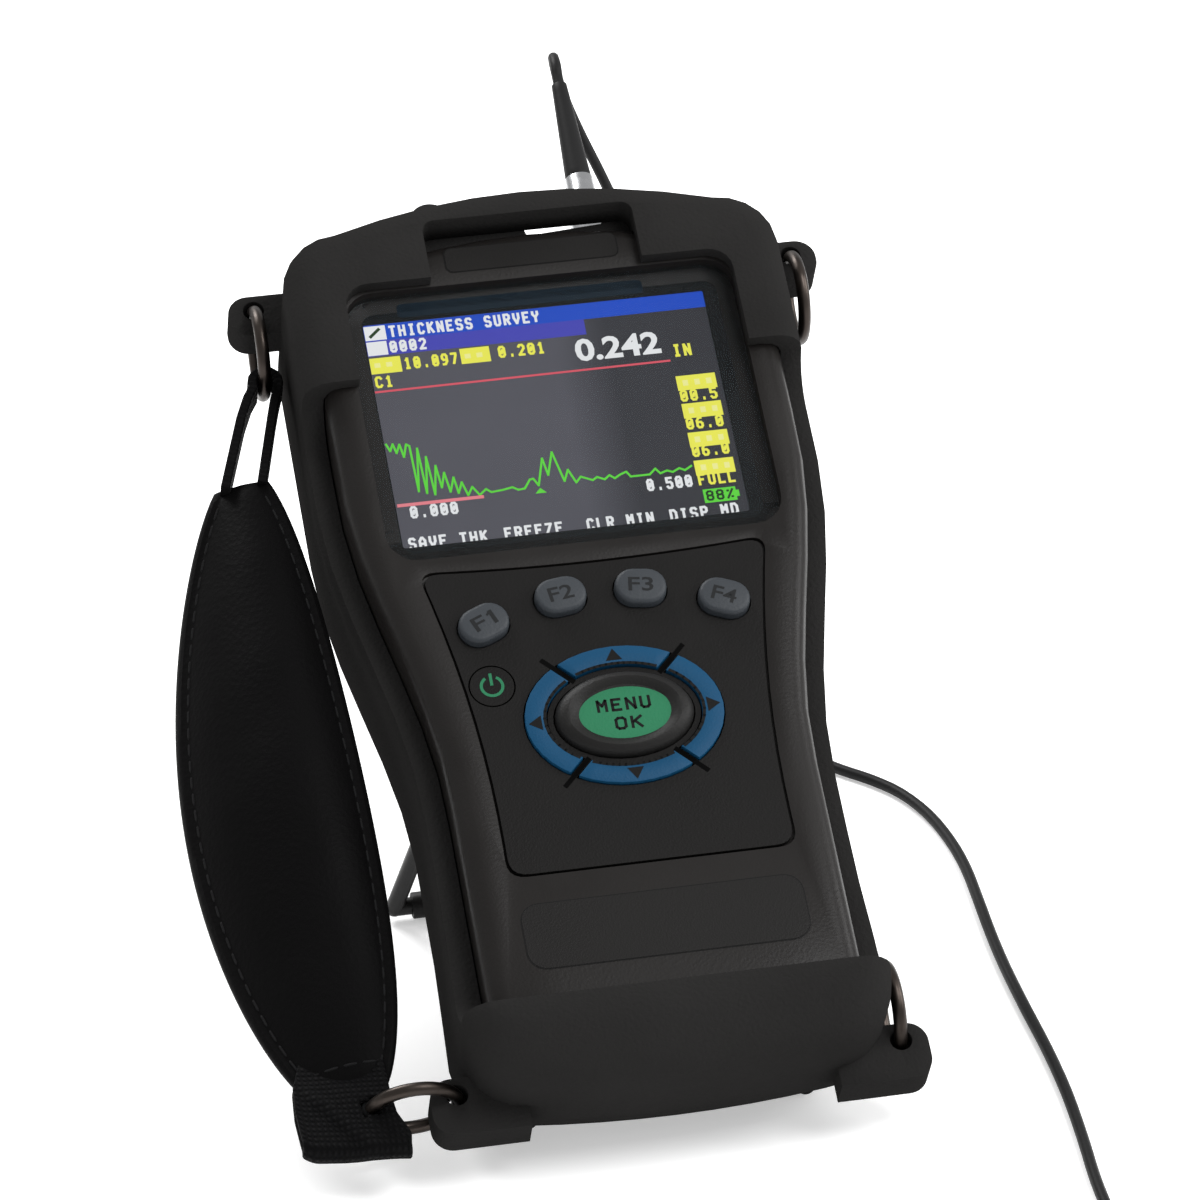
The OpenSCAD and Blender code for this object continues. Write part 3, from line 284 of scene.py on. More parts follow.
def soft_normals():
    """Node group that shades the facets smoothly up to an angle."""
    group = bpy.data.node_groups.new("soft_normals", "GeometryNodeTree")
    group.interface.new_socket("Geometry", in_out="INPUT", socket_type="NodeSocketGeometry")
    group.interface.new_socket("Geometry", in_out="OUTPUT", socket_type="NodeSocketGeometry")
    start = group.nodes.new("NodeGroupInput")
    end = group.nodes.new("NodeGroupOutput")
    plain = group.nodes.new("GeometryNodeRemoveAttribute")
    plain.inputs["Name"].default_value = "custom_normal"
    faces = group.nodes.new("GeometryNodeSetShadeSmooth")
    edges = group.nodes.new("GeometryNodeSetShadeSmooth")
    edges.domain = "EDGE"
    angle = group.nodes.new("GeometryNodeInputMeshEdgeAngle")
    compare = group.nodes.new("FunctionNodeCompare")
    compare.operation = "LESS_THAN"
    compare.inputs[1].default_value = math.radians(32)
    link = group.links.new
    link(start.outputs[0], plain.inputs["Geometry"])
    link(plain.outputs["Geometry"], faces.inputs["Geometry"])
    link(faces.outputs["Geometry"], edges.inputs["Geometry"])
    link(angle.outputs["Unsigned Angle"], compare.inputs[0])
    link(compare.outputs["Result"], edges.inputs["Shade Smooth"])
    link(edges.outputs["Geometry"], end.inputs[0])
    return group


SOFT_NORMALS = soft_normals()


def soften(obj, edge):
    """Smooth shading, and corners rounded by edge mm."""
    weld = obj.modifiers.new("weld", "WELD")
    weld.merge_threshold = 0.00001
    if edge:
        bevel = obj.modifiers.new("edge", "BEVEL")
        bevel.width = edge * 0.001
        bevel.segments = 2
        bevel.limit_method = "ANGLE"
        bevel.angle_limit = math.radians(38)
        bevel.use_clamp_overlap = True
    smooth = obj.modifiers.new("normals", "NODES")
    smooth.node_group = SOFT_NORMALS


def dress(name, material, edge):
    """Gives a CAD piece its material and its rounded corners."""
    obj = nodes[name]
    obj.data.materials.clear()
    obj.data.materials.append(material)
    soften(obj, edge)


def add_piece(name, build, material, body="gauge", woven_uvs=False, edge=0.0, soft=True):
    """Makes a piece from points in the gauge's frame, and lets it ride on a body."""
    mesh = bpy.data.meshes.new(name)
    mesh.from_pydata([GAUGE @ Vector(v) for v in build.verts], [], build.faces)
    if woven_uvs:
        layer = mesh.uv_layers.new(name="UVMap")
        for loop in mesh.loops:
            layer.data[loop.index].uv = build.uvs[loop.vertex_index]
    mesh.materials.append(material)
    mesh.validate()
    mesh.update()
    obj = bpy.data.objects.new(name, mesh)
    bpy.context.collection.objects.link(obj)
    if soft:
        soften(obj, edge)
    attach(obj, body)
    return obj


class Build:
    """Collects the points and faces of one piece."""

    def __init__(self):
        self.verts, self.faces, self.uvs = [], [], []

    def points(self, points, uvs=None):
        """Adds points and tells the number of the first."""
        first = len(self.verts)
        self.verts += [tuple(p) for p in points]
        self.uvs += uvs or [(p[0], p[2]) for p in points]
        return first

    def loft(self, rings, uvs=None, caps=True):
        """Skin over closed rings of equal count."""
        n = len(rings[0])
        starts = [self.points(r, uvs[i] if uvs else None) for i, r in enumerate(rings)]
        for a, b in zip(starts, starts[1:]):
            for j in range(n):
                k = (j + 1) % n
                self.faces.append((a + j, a + k, b + k, b + j))
        if caps:
            self.faces.append(tuple(starts[0] + j for j in reversed(range(n))))
            self.faces.append(tuple(starts[-1] + j for j in range(n)))

    def slab(self, outline, y0, y1, edge=0.0):
        """Flat outline in x and z from depth y0 (front) to y1, with a small front bevel."""
        n = len(outline)
        mid = Vector((sum(p[0] for p in outline) / n, sum(p[1] for p in outline) / n))
        size = max((Vector(p) - mid).length for p in outline)
        shrunk = [mid + (Vector(p) - mid) * (1 - edge / size) for p in outline]
        rings = [[(p[0], y0, p[1]) for p in shrunk]]
        if edge:
            rings.append([(p[0], y0 + edge, p[1]) for p in outline])
        rings.append([(p[0], y1, p[1]) for p in outline])
        self.loft(rings)

    def ribbon(self, points, width, y0, y1):
        """Line of the given width through x, z points."""
        for a, b in zip(points, points[1:]):
            a, b = Vector(a), Vector(b)
            along = (b - a).normalized()
            side = Vector((-along.y, along.x)) * width / 2
            a, b = a - along * width * 0.35, b + along * width * 0.35
            self.slab([a - side, b - side, b + side, a + side], y0, y1)


def rounded(x0, z0, x1, z1, r, steps=6):
    """Rectangle with round corners."""
    corners = (
        (x1 - r, z1 - r, 0), (x0 + r, z1 - r, 90),
        (x0 + r, z0 + r, 180), (x1 - r, z0 + r, 270),
    )
    points = []
    for cx, cz, start in corners:
        for i in range(steps + 1):
            a = math.radians(start + 90 * i / steps)
            points.append((cx + r * math.cos(a), cz + r * math.sin(a)))
    return points


def ellipse(cx, cz, a, b, steps=48):
    turns = [2 * math.pi * i / steps for i in range(steps)]
    return [(cx + a * math.cos(t), cz + b * math.sin(t)) for t in turns]


def add_text(build, words, x0, x1, z, height, y, bold=0.0, turn=0.0):
    """Letters from x0 to x1 on baseline z, height tall, laid on depth y."""
    curve = bpy.data.curves.new("letters", "FONT")
    curve.body = words
    curve.resolution_u = 3
    curve.offset = bold
    holder = bpy.data.objects.new("letters", curve)
    bpy.context.collection.objects.link(holder)
    bpy.context.view_layer.update()
    graph = bpy.context.evaluated_depsgraph_get()
    mesh = bpy.data.meshes.new_from_object(holder.evaluated_get(graph))
    xs = [v.co.x for v in mesh.vertices]
    zs = [v.co.y for v in mesh.vertices]
    scale_x = (x1 - x0) / (max(xs) - min(xs))
    scale_z = height / (max(zs) - min(zs))
    mid = Vector(((x0 + x1) / 2, z + height / 2))
    cos, sin = math.cos(turn), math.sin(turn)
    points = []
    for v in mesh.vertices:
        px = x0 + (v.co.x - min(xs)) * scale_x - mid.x
        pz = z + (v.co.y - min(zs)) * scale_z - mid.y
        points.append((mid.x + px * cos - pz * sin, y, mid.y + px * sin + pz * cos))
    first = build.points(points)
    build.faces += [tuple(first + i for i in p.vertices) for p in mesh.polygons]
    bpy.data.objects.remove(holder)
    bpy.data.meshes.remove(mesh)
    bpy.data.curves.remove(curve)


# Strokes of the display's letters on a cell 4 wide and 6 tall, as x, z pairs
STROKES = {
    "A": ((0, 0, 0, 4.2, 1.6, 6, 2.4, 6, 4, 4.2, 4, 0), (0, 2.4, 4, 2.4)),
    "C": ((4, 5, 3, 6, 1, 6, 0, 5, 0, 1, 1, 0, 3, 0, 4, 1),),
    "D": ((0, 0, 0, 6, 2.6, 6, 4, 4.6, 4, 1.4, 2.6, 0, 0, 0),),
    "E": ((4, 6, 0, 6, 0, 0, 4, 0), (0, 3.1, 3, 3.1)),
    "F": ((4, 6, 0, 6, 0, 0), (0, 3.1, 3, 3.1)),
    "H": ((0, 0, 0, 6), (4, 0, 4, 6), (0, 3, 4, 3)),
    "I": ((2, 0, 2, 6), (0.8, 6, 3.2, 6), (0.8, 0, 3.2, 0)),
    "K": ((0, 0, 0, 6), (4, 6, 0.4, 3), (1.2, 3.6, 4, 0)),
    "L": ((0, 6, 0, 0, 4, 0),),
    "M": ((0, 0, 0, 6, 2, 3, 4, 6, 4, 0),),
    "N": ((0, 0, 0, 6, 4, 0, 4, 6),),
    "O": ((1, 0, 0, 1, 0, 5, 1, 6, 3, 6, 4, 5, 4, 1, 3, 0, 1, 0),),
    "P": ((0, 0, 0, 6, 3, 6, 4, 5.2, 4, 3.7, 3, 2.9, 0, 2.9),),
    "R": ((0, 0, 0, 6, 3, 6, 4, 5.2, 4, 3.7, 3, 2.9, 0, 2.9), (2, 2.9, 4, 0)),
    "S": (
        (4, 5.2, 3.1, 6, 0.9, 6, 0, 5.2, 0, 3.8, 0.9, 3.1, 3.1, 2.9, 4, 2.2, 4, 0.8, 3.1, 0, 0.9, 0, 0, 0.8),
    ),
    "T": ((0, 6, 4, 6), (2, 6, 2, 0)),
    "U": ((0, 6, 0, 1, 1, 0, 3, 0, 4, 1, 4, 6),),
    "V": ((0, 6, 0, 3.4, 2, 0, 4, 3.4, 4, 6),),
    "Y": ((0, 6, 0, 4.4, 2, 2.6, 4, 4.4, 4, 6), (2, 2.6, 2, 0)),
    "Z": ((0, 6, 4, 6, 0, 0, 4, 0),),
    "0": ((1, 0, 0, 1, 0, 5, 1, 6, 3, 6, 4, 5, 4, 1, 3, 0, 1, 0), (1.5, 2, 2.5, 4)),
    "1": ((0.8, 4.8, 2, 6, 2, 0), (0.8, 0, 3.2, 0)),
    "2": ((0, 5, 1, 6, 3, 6, 4, 5, 4, 3.8, 0, 0, 4, 0),),
    "4": ((3.1, 0, 3.1, 6, 0, 2, 4, 2),),
    "5": ((4, 6, 0, 6, 0, 3.5, 3, 3.5, 4, 2.6, 4, 0.9, 3, 0, 1, 0, 0, 0.9),),
    "6": ((3.6, 6, 1.6, 6, 0, 4.2, 0, 1, 1, 0, 3, 0, 4, 1, 4, 2.4, 3, 3.3, 0, 3.3),),
    "7": ((0, 6, 4, 6, 4, 5, 1.6, 0),),
    "8": (
        (1, 3.1, 0, 4, 0, 5.2, 1, 6, 3, 6, 4, 5.2, 4, 4, 3, 3.1),
        (3, 3.1, 1, 3.1),
        (1, 3.1, 0, 2.2, 0, 0.8, 1, 0, 3, 0, 4, 0.8, 4, 2.2, 3, 3.1),
    ),
    "9": ((0.4, 0, 2.4, 0, 4, 1.8, 4, 5, 3, 6, 1, 6, 0, 5, 0, 3.6, 1, 2.7, 4, 2.7),),
    ".": ((1.8, 0, 2.2, 0), (1.8, 0.5, 2.2, 0.5)),
    "%": ((0, 0, 4, 6), (0.2, 5.2, 1, 5.2), (3, 0.8, 3.8, 0.8)),
    " ": (),
}


# Share of its pitch that a letter takes, and thickness of print
LETTER_SHARE = 0.76
INK = 0.02


def add_strokes(build, words, x0, x1, z, height, y, weight=0.19):
    """Even letters from x0 to x1 on baseline z, drawn with a pen of the given share of their height."""
    pen = height * weight
    pitch = (x1 - x0) / (len(words) - (1 - LETTER_SHARE))
    wide, tall = (pitch * LETTER_SHARE - pen) / 4, (height - pen) / 6
    for i, letter in enumerate(words):
        for line in STROKES[letter]:
            points = [
                (x0 + i * pitch + pen / 2 + a * wide, z + pen / 2 + b * tall)
                for a, b in zip(line[::2], line[1::2])
            ]
            build.ribbon(points, pen, y, y + INK)


# Probe cable, in mm on the table: from the bend relief over a loop, down behind the gauge, into a coil

RELIEF_END = GAUGE @ Vector((13.6, 16, 196))
RELIEF_WAY = (GAUGE.to_3x3() @ Vector((0, 0, 1))).normalized()
CABLE_R = 1.0
HANG = [
    (13.7, 175, 122.2), (13.9, 177.9, 122.4), (14.4, 180.9, 120.9), (15.1, 182.9, 117.9), (16, 183.8, 114.2),
    (17.8, 184.6, 109), (20.2, 185.4, 103), (23.2, 186.2, 96), (27, 187.2, 86.5), (31, 188, 75),
    (35, 188.3, 62), (38.5, 187.5, 48), (41.3, 185, 34.5), (43.3, 180.5, 21.5), (44.6, 173.5, 11.5),
    (45.3, 165, 5), (45.7, 156.5, 1.8),
]
COIL_START = (60.8, -34)
LIE = [
    (46.1, 148.5), (47, 141), (49.2, 134.5), (53, 129), (57.5, 123.8), (61.4, 117.6), (64.2, 109), (65.6, 99),
    (65.9, 89), (65.3, 78), (64.5, 66), (64, 54), (63.9, 40), (64, 26), (63.6, 12), (62.5, -2), (61.3, -14),
    (60.8, -24), COIL_START,
]
COIL_TURN = 17.0
COIL_LEAD = 18.0
COIL_RISE = 2.05
COIL_MID = (COIL_START[0] - COIL_TURN, COIL_START[1] - 0.05 - COIL_LEAD)
TAIL = 6.0


def smooth_path(points, steps):
    """Catmull-Rom curve through the points."""
    path = []
    for i in range(len(points) - 1):
        a, b = points[max(i - 1, 0)], points[i]
        c, d = points[i + 1], points[min(i + 2, len(points) - 1)]
        for s in range(steps):
            t = s / steps
            bend, twist = 2 * a - 5 * b + 4 * c - d, 3 * b - a - 3 * c + d
            path.append((2 * b + (c - a) * t + bend * t**2 + twist * t**3) / 2)
    return path + [points[-1]]


def coil_points():
    """Bottom layer wound in, a rise at the inside, top layer wound out."""
    in_turns, out_turns = 5.5, 4.75
    inner, rise_r, inner_top = 5.75, 4.4, 6.3
    total = in_turns + 1 + out_turns
    steps = round(total * 24)
    points = []
    for i in range(1, steps + 1):
        turn = total * i / steps
        if turn <= in_turns:
            r, z = COIL_TURN + (inner - COIL_TURN) * turn / in_turns, CABLE_R
        elif turn <= in_turns + 0.5:
            t = (turn - in_turns) / 0.5
            e = 0.5 - 0.5 * math.cos(math.pi * t)
            r, z = inner + (rise_r - inner) * e, CABLE_R + COIL_RISE * e
        elif turn <= in_turns + 1:
            t = (turn - in_turns - 0.5) / 0.5
            e = 0.5 - 0.5 * math.cos(math.pi * t)
            r, z = rise_r + (inner_top - rise_r) * e, CABLE_R + COIL_RISE
        else:
            t = (turn - in_turns - 1) / out_turns
            r, z = inner_top + (COIL_TURN - inner_top) * t, CABLE_R + COIL_RISE
        a = -2 * math.pi * turn
        points.append(Vector((COIL_MID[0] + r * math.cos(a), COIL_MID[1] + r * math.sin(a), z)))
    return points


def make_cable():
    to_table = TABLE.inverted()
    start = to_table @ RELIEF_END
    points = [start - RELIEF_WAY * 3, start, start + RELIEF_WAY, start + RELIEF_WAY * 2]
    points += [Vector(p) for p in HANG] + [Vector((x, y, CABLE_R)) for x, y in LIE]
    path = smooth_path(points, 3)
    path = [Vector((p.x, p.y, max(p.z, CABLE_R))) for p in path]
    lead = [Vector((COIL_START[0], COIL_START[1] - COIL_LEAD * s, CABLE_R)) for s in (0.35, 0.7, 1.0)]
    end = Vector((COIL_MID[0], COIL_MID[1] - COIL_TURN, CABLE_R + COIL_RISE))
    tail = [end - Vector(((COIL_LEAD + TAIL) * s, 0, 0)) for s in (0.25, 0.5, 0.75, 1.0)]
    route = [TABLE @ p for p in path + lead + coil_points() + tail]
    curve = bpy.data.curves.new("cable", "CURVE")
    curve.dimensions = "3D"
    spline = curve.splines.new("POLY")
    spline.points.add(len(route) - 1)
    for point, p in zip(spline.points, route):
        point.co = (*p, 1)
    curve.bevel_depth = CABLE_R * 0.001
    curve.bevel_resolution = 3
    curve.use_fill_caps = True
    curve.materials.append(JACKET)
    cable = bpy.data.objects.new("cable", curve)
    bpy.context.collection.objects.link(cable)
    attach(cable, "gauge")
    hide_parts("probe_cable", "cable_coil", "probe_tail")


make_cable()


# Finishes of the CAD pieces: material, and rounding of the corners in mm

FINISHES = {
    "boot": (RUBBER, 0.35),
    "upper_left_ring": (RING, 0), "upper_right_ring": (RING, 0),
    "lower_left_ring": (RING, 0), "lower_right_ring": (RING, 0),
    "tilt_stand": (COATED, 0), "stand_sleeves": (SOFT_CAP, 0.3),
    "front_case": (CASE, 0.2), "rear_case": (CASE, 0.2), "battery_door": (CASE, 0.3),
    "case_seal": (SEAL, 0), "case_screws": (STEEL, 0.2),
    "display_window": (WINDOW, 0), "display_module": (BLACK_RIM, 0),
    "keypad_panel": (FILM, 0),
    "key_f1": (GREY_KEY, 0), "key_f2": (GREY_KEY, 0), "key_f3": (GREY_KEY, 0), "key_f4": (GREY_KEY, 0),
    "key_up": (BLUE, 0.15), "key_down": (BLUE, 0.15), "key_left": (BLUE, 0.15), "key_right": (BLUE, 0.15),
    "key_menu": (DARK_KEY, 0), "key_power": (FILM, 0),
    "dome_sheet": (FILM, 0), "main_board": (BOARD, 0), "board_shield": (STEEL, 0.2),
    "battery_cells": (CELL_WRAP, 0.3), "battery_contacts": (BRASS, 0),
    "left_socket": (NICKEL, 0.2), "right_socket": (NICKEL, 0.2), "dust_cap": (SOFT_CAP, 0.4),
    "cable_plug": (NICKEL, 0.25), "cable_relief": (JACKET, 0.15), "coil_tie": (WEB, 0),
    "probe_body": (STEEL, 0.2), "probe_face": (WEAR, 0.1),
}
for node_name, (finish, edge) in FINISHES.items():
    dress(node_name, finish, edge)


# Display

# Depths behind the face: the glass, print on it, letters over that and marks over the letters
GLASS = 2.82
ON_GLASS = GLASS - INK
LETTERS = 2.76
OVER_LETTERS = LETTERS - 0.03
LIT_LEFT, LIT_RIGHT, LIT_TOP = -30.2, 28.0, 142.55
ROW = 2.35
SMALL_ROW = 2.3
# Yellow fields on the right: top of the field, words below it and their baseline
GATES = ((126.3, "00.5", 121.2), (120.8, "06.0", 115.7), (115.1, "06.0", 110.3), (109.6, "FULL", 104.7))
SOFTKEY_WORDS = (
    ("SAVE THK", -29.2, -16.0), ("FREEZE", -13.2, -3.4), ("CLR MIN", 0.6, 11.9), ("DISP MD", 14.6, 26.2),
)
WAVE = [
    (-29.9, 119.1), (-29.4, 117.7), (-28.8, 119.0), (-28.4, 117.2), (-27.7, 118.8), (-27.3, 116.3),
    (-26.6, 118.7), (-26.1, 118.3), (-25.9, 109.4), (-24.9, 117.7), (-24.6, 108.9), (-23.7, 115.9),
    (-23.3, 108.5), (-22.4, 114.0), (-22.0, 109.7), (-21.2, 112.5), (-20.7, 108.7), (-19.8, 111.4),
    (-19.4, 108.3), (-18.6, 110.3), (-17.9, 107.7), (-17.0, 109.2), (-16.0, 107.5), (-14.8, 108.5),
    (-14.0, 107.8), (-12.0, 108.0), (-10.4, 108.3), (-9.5, 107.7), (-8.4, 107.8), (-7.3, 109.4),
    (-6.7, 109.5), (-6.0, 108.1), (-4.6, 113.2), (-4.1, 109.9), (-2.8, 114.2), (-1.6, 108.4),
    (-0.7, 110.5), (0.3, 107.9), (1.2, 108.9), (3.1, 108.0), (3.9, 108.5), (5.1, 107.9),
    (6.0, 108.6), (6.8, 107.9), (7.8, 108.5), (8.9, 108.9), (9.5, 107.9), (12.7, 107.9),
    (13.8, 108.9), (14.5, 107.9), (15.7, 108.3), (16.6, 107.9), (17.8, 108.5), (18.7, 108.0),
    (19.9, 108.7),
]


def make_screen():
    """The lit screen, in one piece per colour."""
    layers = {name: Build() for name in SCREEN}
    white, yellow, dark, green = (layers[name] for name in ("white", "yellow", "dark", "green"))
    layers["back"].slab(rounded(LIT_LEFT, 98.2, LIT_RIGHT, 142.6, 0.3), GLASS, GLASS + 0.06)

    def box(layer, x0, z0, x1, z1, depth=ON_GLASS):
        layers[layer].slab([(x0, z0), (x1, z0), (x1, z1), (x0, z1)], depth, depth + INK)

    box("title", LIT_LEFT, 139.4, LIT_RIGHT, LIT_TOP)
    box("title_low", LIT_LEFT, 136.4, 7.0, 139.4)
    box("white", -30.1, 139.5, -26.5, 142.3, LETTERS)
    box("white", -30.1, 136.5, -26.7, 139.2, LETTERS)
    dark.ribbon([(-29.2, 140.2), (-27.6, 141.6)], 0.55, OVER_LETTERS, OVER_LETTERS + 0.01)
    add_strokes(white, "THICKNESS SURVEY", -26.0, -0.4, 139.75, ROW, LETTERS)
    add_strokes(white, "0002", -26.3, -20.1, 136.75, SMALL_ROW, LETTERS)
    box("yellow", -30.1, 132.9, -24.9, 136.0)
    add_strokes(yellow, "10.097", -24.4, -15.4, 133.2, ROW, LETTERS)
    box("yellow", -14.8, 133.1, -9.8, 136.1)
    add_strokes(yellow, "0.201", -8.4, -0.5, 133.5, ROW, LETTERS)
    add_text(white, "0.242", 4.5, 19.0, 131.1, 4.5, LETTERS, 0.03)
    add_strokes(yellow, "IN", 20.9, 24.0, 130.1, 2.5, LETTERS)
    add_strokes(yellow, "C1", -29.8, -26.8, 130.1, SMALL_ROW, LETTERS)
    layers["red"].ribbon([(-30.0, 129.35), (20.0, 129.5)], 0.38, LETTERS, LETTERS + INK)
    for top, words, base in GATES:
        box("yellow", 20.4, top - 2.9, 27.1, top)
        for i in range(3):
            x = 21.4 + i * 2.0
            box("yellow_pale", x, top - 2.0, x + 0.9, top - 0.9, ON_GLASS - INK)
        add_strokes(yellow, words, 20.5, 26.8, base, SMALL_ROW, LETTERS)
    for x0 in (-29.4, -14.1):
        for i in range(2):
            box("yellow_pale", x0 + i * 2.0, 134.1, x0 + i * 2.0 + 1.0, 135.0, ON_GLASS - INK)
    box("green", 20.9, 101.3, 26.4, 103.9)
    box("green", 26.3, 102.0, 26.9, 103.2)
    add_strokes(dark, "88%", 21.3, 26.0, 101.6, 2.0, OVER_LETTERS)
    green.ribbon(WAVE, 0.36, LETTERS, LETTERS + INK)
    green.slab([(-6.8, 106.6), (-4.9, 106.6), (-5.85, 107.6)], LETTERS, LETTERS + INK)
    layers["pink"].ribbon([(-29.7, 107.1), (-15.6, 107.1)], 0.6, LETTERS - INK, LETTERS)
    add_strokes(white, "0.000", -28.0, -20.0, 104.4, ROW, LETTERS)
    add_strokes(white, "0.500", 11.8, 19.5, 104.7, ROW, LETTERS)
    for words, x0, x1 in SOFTKEY_WORDS:
        add_strokes(white, words, x0, x1, 98.45, ROW, LETTERS)
    for name, build in layers.items():
        add_piece("screen_" + name, build, SCREEN[name], soft=False)


def make_rim():
    """Printed border on the back of the window, open over the lit area, and a painted reflection strip above
    it.
    """
    outer = rounded(-32.9, 95.1, 32.9, 146.9, 4.7, 8)
    inner = rounded(LIT_LEFT, 98.85, LIT_RIGHT, LIT_TOP, 0.5, 8)
    build = Build()
    front, back = 2.64, 2.66
    n = len(outer)
    a = build.points([(x, front, z) for x, z in outer])
    b = build.points([(x, front, z) for x, z in inner])
    c = build.points([(x, back, z) for x, z in outer])
    d = build.points([(x, back, z) for x, z in inner])
    for j in range(n):
        k = (j + 1) % n
        build.faces += [(a + j, a + k, b + k, b + j), (c + k, c + j, d + j, d + k)]
        build.faces += [(b + j, b + k, d + k, d + j), (a + k, a + j, c + j, c + k)]
    add_piece("window_rim", build, BLACK_RIM)
    # Painted reflection: a teal strip above the lit area stands in for light mirrored on the sloped wall over
    # the window
    shine = Build()
    shine.slab(rounded(-24.0, 143.3, 18.0, 146.0, 0.8), 2.60, 2.635)
    add_piece("window_painted_reflection", shine, TEAL_REFLECTION)


make_screen()
make_rim()


# Legends on the keys and plates on the case; a top is a depth, negative in front of the face

SOFTKEY_ARC, SOFTKEY_PITCH, SOFTKEY_Z = 51.0, 13.3, 84.8
SOFTKEY_TOP = -1.73
PAD_Z = 62.0
ARROW_TOP = -0.63
EDGE_A, EDGE_B = 13.05, 9.35
MENU_TOP = -1.13
POWER_X, POWER_Z, POWER_R, POWER_PEN = -20.4, 70.0, 1.75, 0.5


def make_softkey_legends():
    """F1 to F4 along an arc; the font's 1 gets a flag."""
    inner_turn = math.asin(SOFTKEY_PITCH / 2 / SOFTKEY_ARC)
    for i, name in enumerate(("f1", "f2", "f3", "f4")):
        x = (i - 1.5) * SOFTKEY_PITCH
        a = math.asin(x / SOFTKEY_ARC)
        z = SOFTKEY_Z + SOFTKEY_ARC * (math.cos(a) - math.cos(inner_turn))
        build = Build()
        add_text(build, name.upper(), x - 2.05, x + 2.05, z - 1.2, 2.6, SOFTKEY_TOP, 0.012, -a)
        if name == "f1":
            flag = [
                (x + p * math.cos(a) + q * math.sin(a), z + 0.1 - p * math.sin(a) + q * math.cos(a))
                for p, q in ((1.6, 1.1), (1.05, 0.7))
            ]
            build.ribbon(flag, 0.38, SOFTKEY_TOP - 0.005, SOFTKEY_TOP + 0.015)
        add_piece("legend_" + name, build, KEY_PRINT, body=name + "_key", soft=False)


def make_arrows():
    """A triangle on each quarter of the direction ring, and a dark line along its inner edge."""
    triangle = ((1.25, 0.0), (-0.9, 1.35), (-0.9, -1.35))
    across, up = 14.5, 10.85
    for name, turn, reach in (("right", 0, across), ("up", 90, up), ("left", 180, across), ("down", 270, up)):
        t = math.radians(turn)
        cos, sin = math.cos(t), math.sin(t)
        build = Build()
        build.slab(
            [((reach + p) * cos - q * sin, PAD_Z + (reach + p) * sin + q * cos) for p, q in triangle],
            ARROW_TOP, ARROW_TOP + 0.04,
        )
        edge = []
        for d in range(-39, 40, 6):
            a = math.radians(turn + d)
            reach_in = 1 / math.hypot(math.cos(a) / EDGE_A, math.sin(a) / EDGE_B)
            edge.append((reach_in * math.cos(a), PAD_Z + reach_in * math.sin(a)))
        build.ribbon(edge, 0.5, ARROW_TOP + 0.01, ARROW_TOP + 0.04)
        add_piece("arrow_" + name, build, PRINT, body=name + "_key", soft=False)


def make_menu_print():
    build = Build()
    build.slab(ellipse(0.1, PAD_Z - 0.1, 7.65, 4.72), MENU_TOP, MENU_TOP + 0.05)
    add_piece("menu_oval", build, GREEN, body="menu_key", soft=False)
    build = Build()
    add_strokes(build, "MENU", -4.45, 4.45, PAD_Z + 0.25, 2.4, MENU_TOP - INK, 0.2)
    add_strokes(build, "OK", -2.0, 2.6, PAD_Z - 3.2, 2.4, MENU_TOP - INK, 0.2)
    add_piece("menu_words", build, PRINT, body="menu_key", soft=False)


def make_power_sign():
    """Open ring and bar."""
    turns = [math.radians(d) for d in range(30, 331, 10)]
    outer, inner = (
        [(POWER_X + r * math.sin(t), POWER_Z + r * math.cos(t)) for t in turns]
        for r in (POWER_R + POWER_PEN / 2, POWER_R - POWER_PEN / 2)
    )
    build = Build()
    build.slab(outer[::-1] + inner, -0.04, -0.01)
    build.ribbon([(POWER_X, POWER_Z + 0.3), (POWER_X, POWER_Z + 2.2)], POWER_PEN, -0.05, -0.01)
    add_piece("power_sign", build, GREEN, body="power_key", soft=False)


def make_pad_slots():
    """Painted shade: dark bars on the panel between the quarters of the direction ring, for the shadowed
    slots between the keys.
    """
    build = Build()
    for turn in (45, 135, 225, 315):
        t = math.radians(turn)
        build.ribbon([(r * math.cos(t), PAD_Z + r * math.sin(t)) for r in (10.2, 16.4)], 0.8, -0.04, 0.0)
    add_piece("pad_slots", build, SLOT_SHADE, soft=False)


PLATES = {
    "lower_plate": (-22.8, 18.6, 22.8, 30.0, 3.0),
    "upper_plate": (-14.8, 149.6, 14.6, 154.2, 1.2),
}
PLATE_LINE = 0.16


def make_plates():
    """Two bare plates, each with a fine dark line round it."""
    line = PLATE_LINE
    for name, (x0, z0, x1, z1, r) in PLATES.items():
        build = Build()
        build.slab(rounded(x0 - line, z0 - line, x1 + line, z1 + line, r + line), -0.05, 0.02)
        add_piece(name + "_line", build, PRINT, soft=False)
        build = Build()
        build.slab(rounded(x0, z0, x1, z1, r), -0.1, 0.02, 0.06)
        add_piece(name, build, PLATE)


def make_bay_web():
    """Rubber web on the case's top behind the guard arch, cut low in the middle."""
    half, high, case_top = 18.3, 159.3, 157.0
    tops = ((-half, high), (0.1, high), (0.5, 157.7), (13.4, 158.6), (13.8, high), (half, high))
    outline = [(x, case_top - 5.0 * (x / 40) ** 2 - 0.6) for x in (-half, -14, -10, -5, 0, 5, 10, 14, half)]
    outline += reversed(tops)
    build = Build()
    build.slab(outline, 3.56, 4.6)
    add_piece("bay_web", build, RUBBER, edge=0.12)


make_softkey_legends()
make_arrows()
make_menu_print()
make_power_sign()
make_pad_slots()
make_plates()
make_bay_web()


# Hand strap

STRAP_LOW, STRAP_TOP, STRAP_HALF, STRAP_T = 4.8, 126.0, 14.8, 5.0
STRAP_X, STRAP_BOW, STRAP_Y, STRAP_TURN = 52.0, 4.0, 16.0, 9.0
PAD_END = 0.035
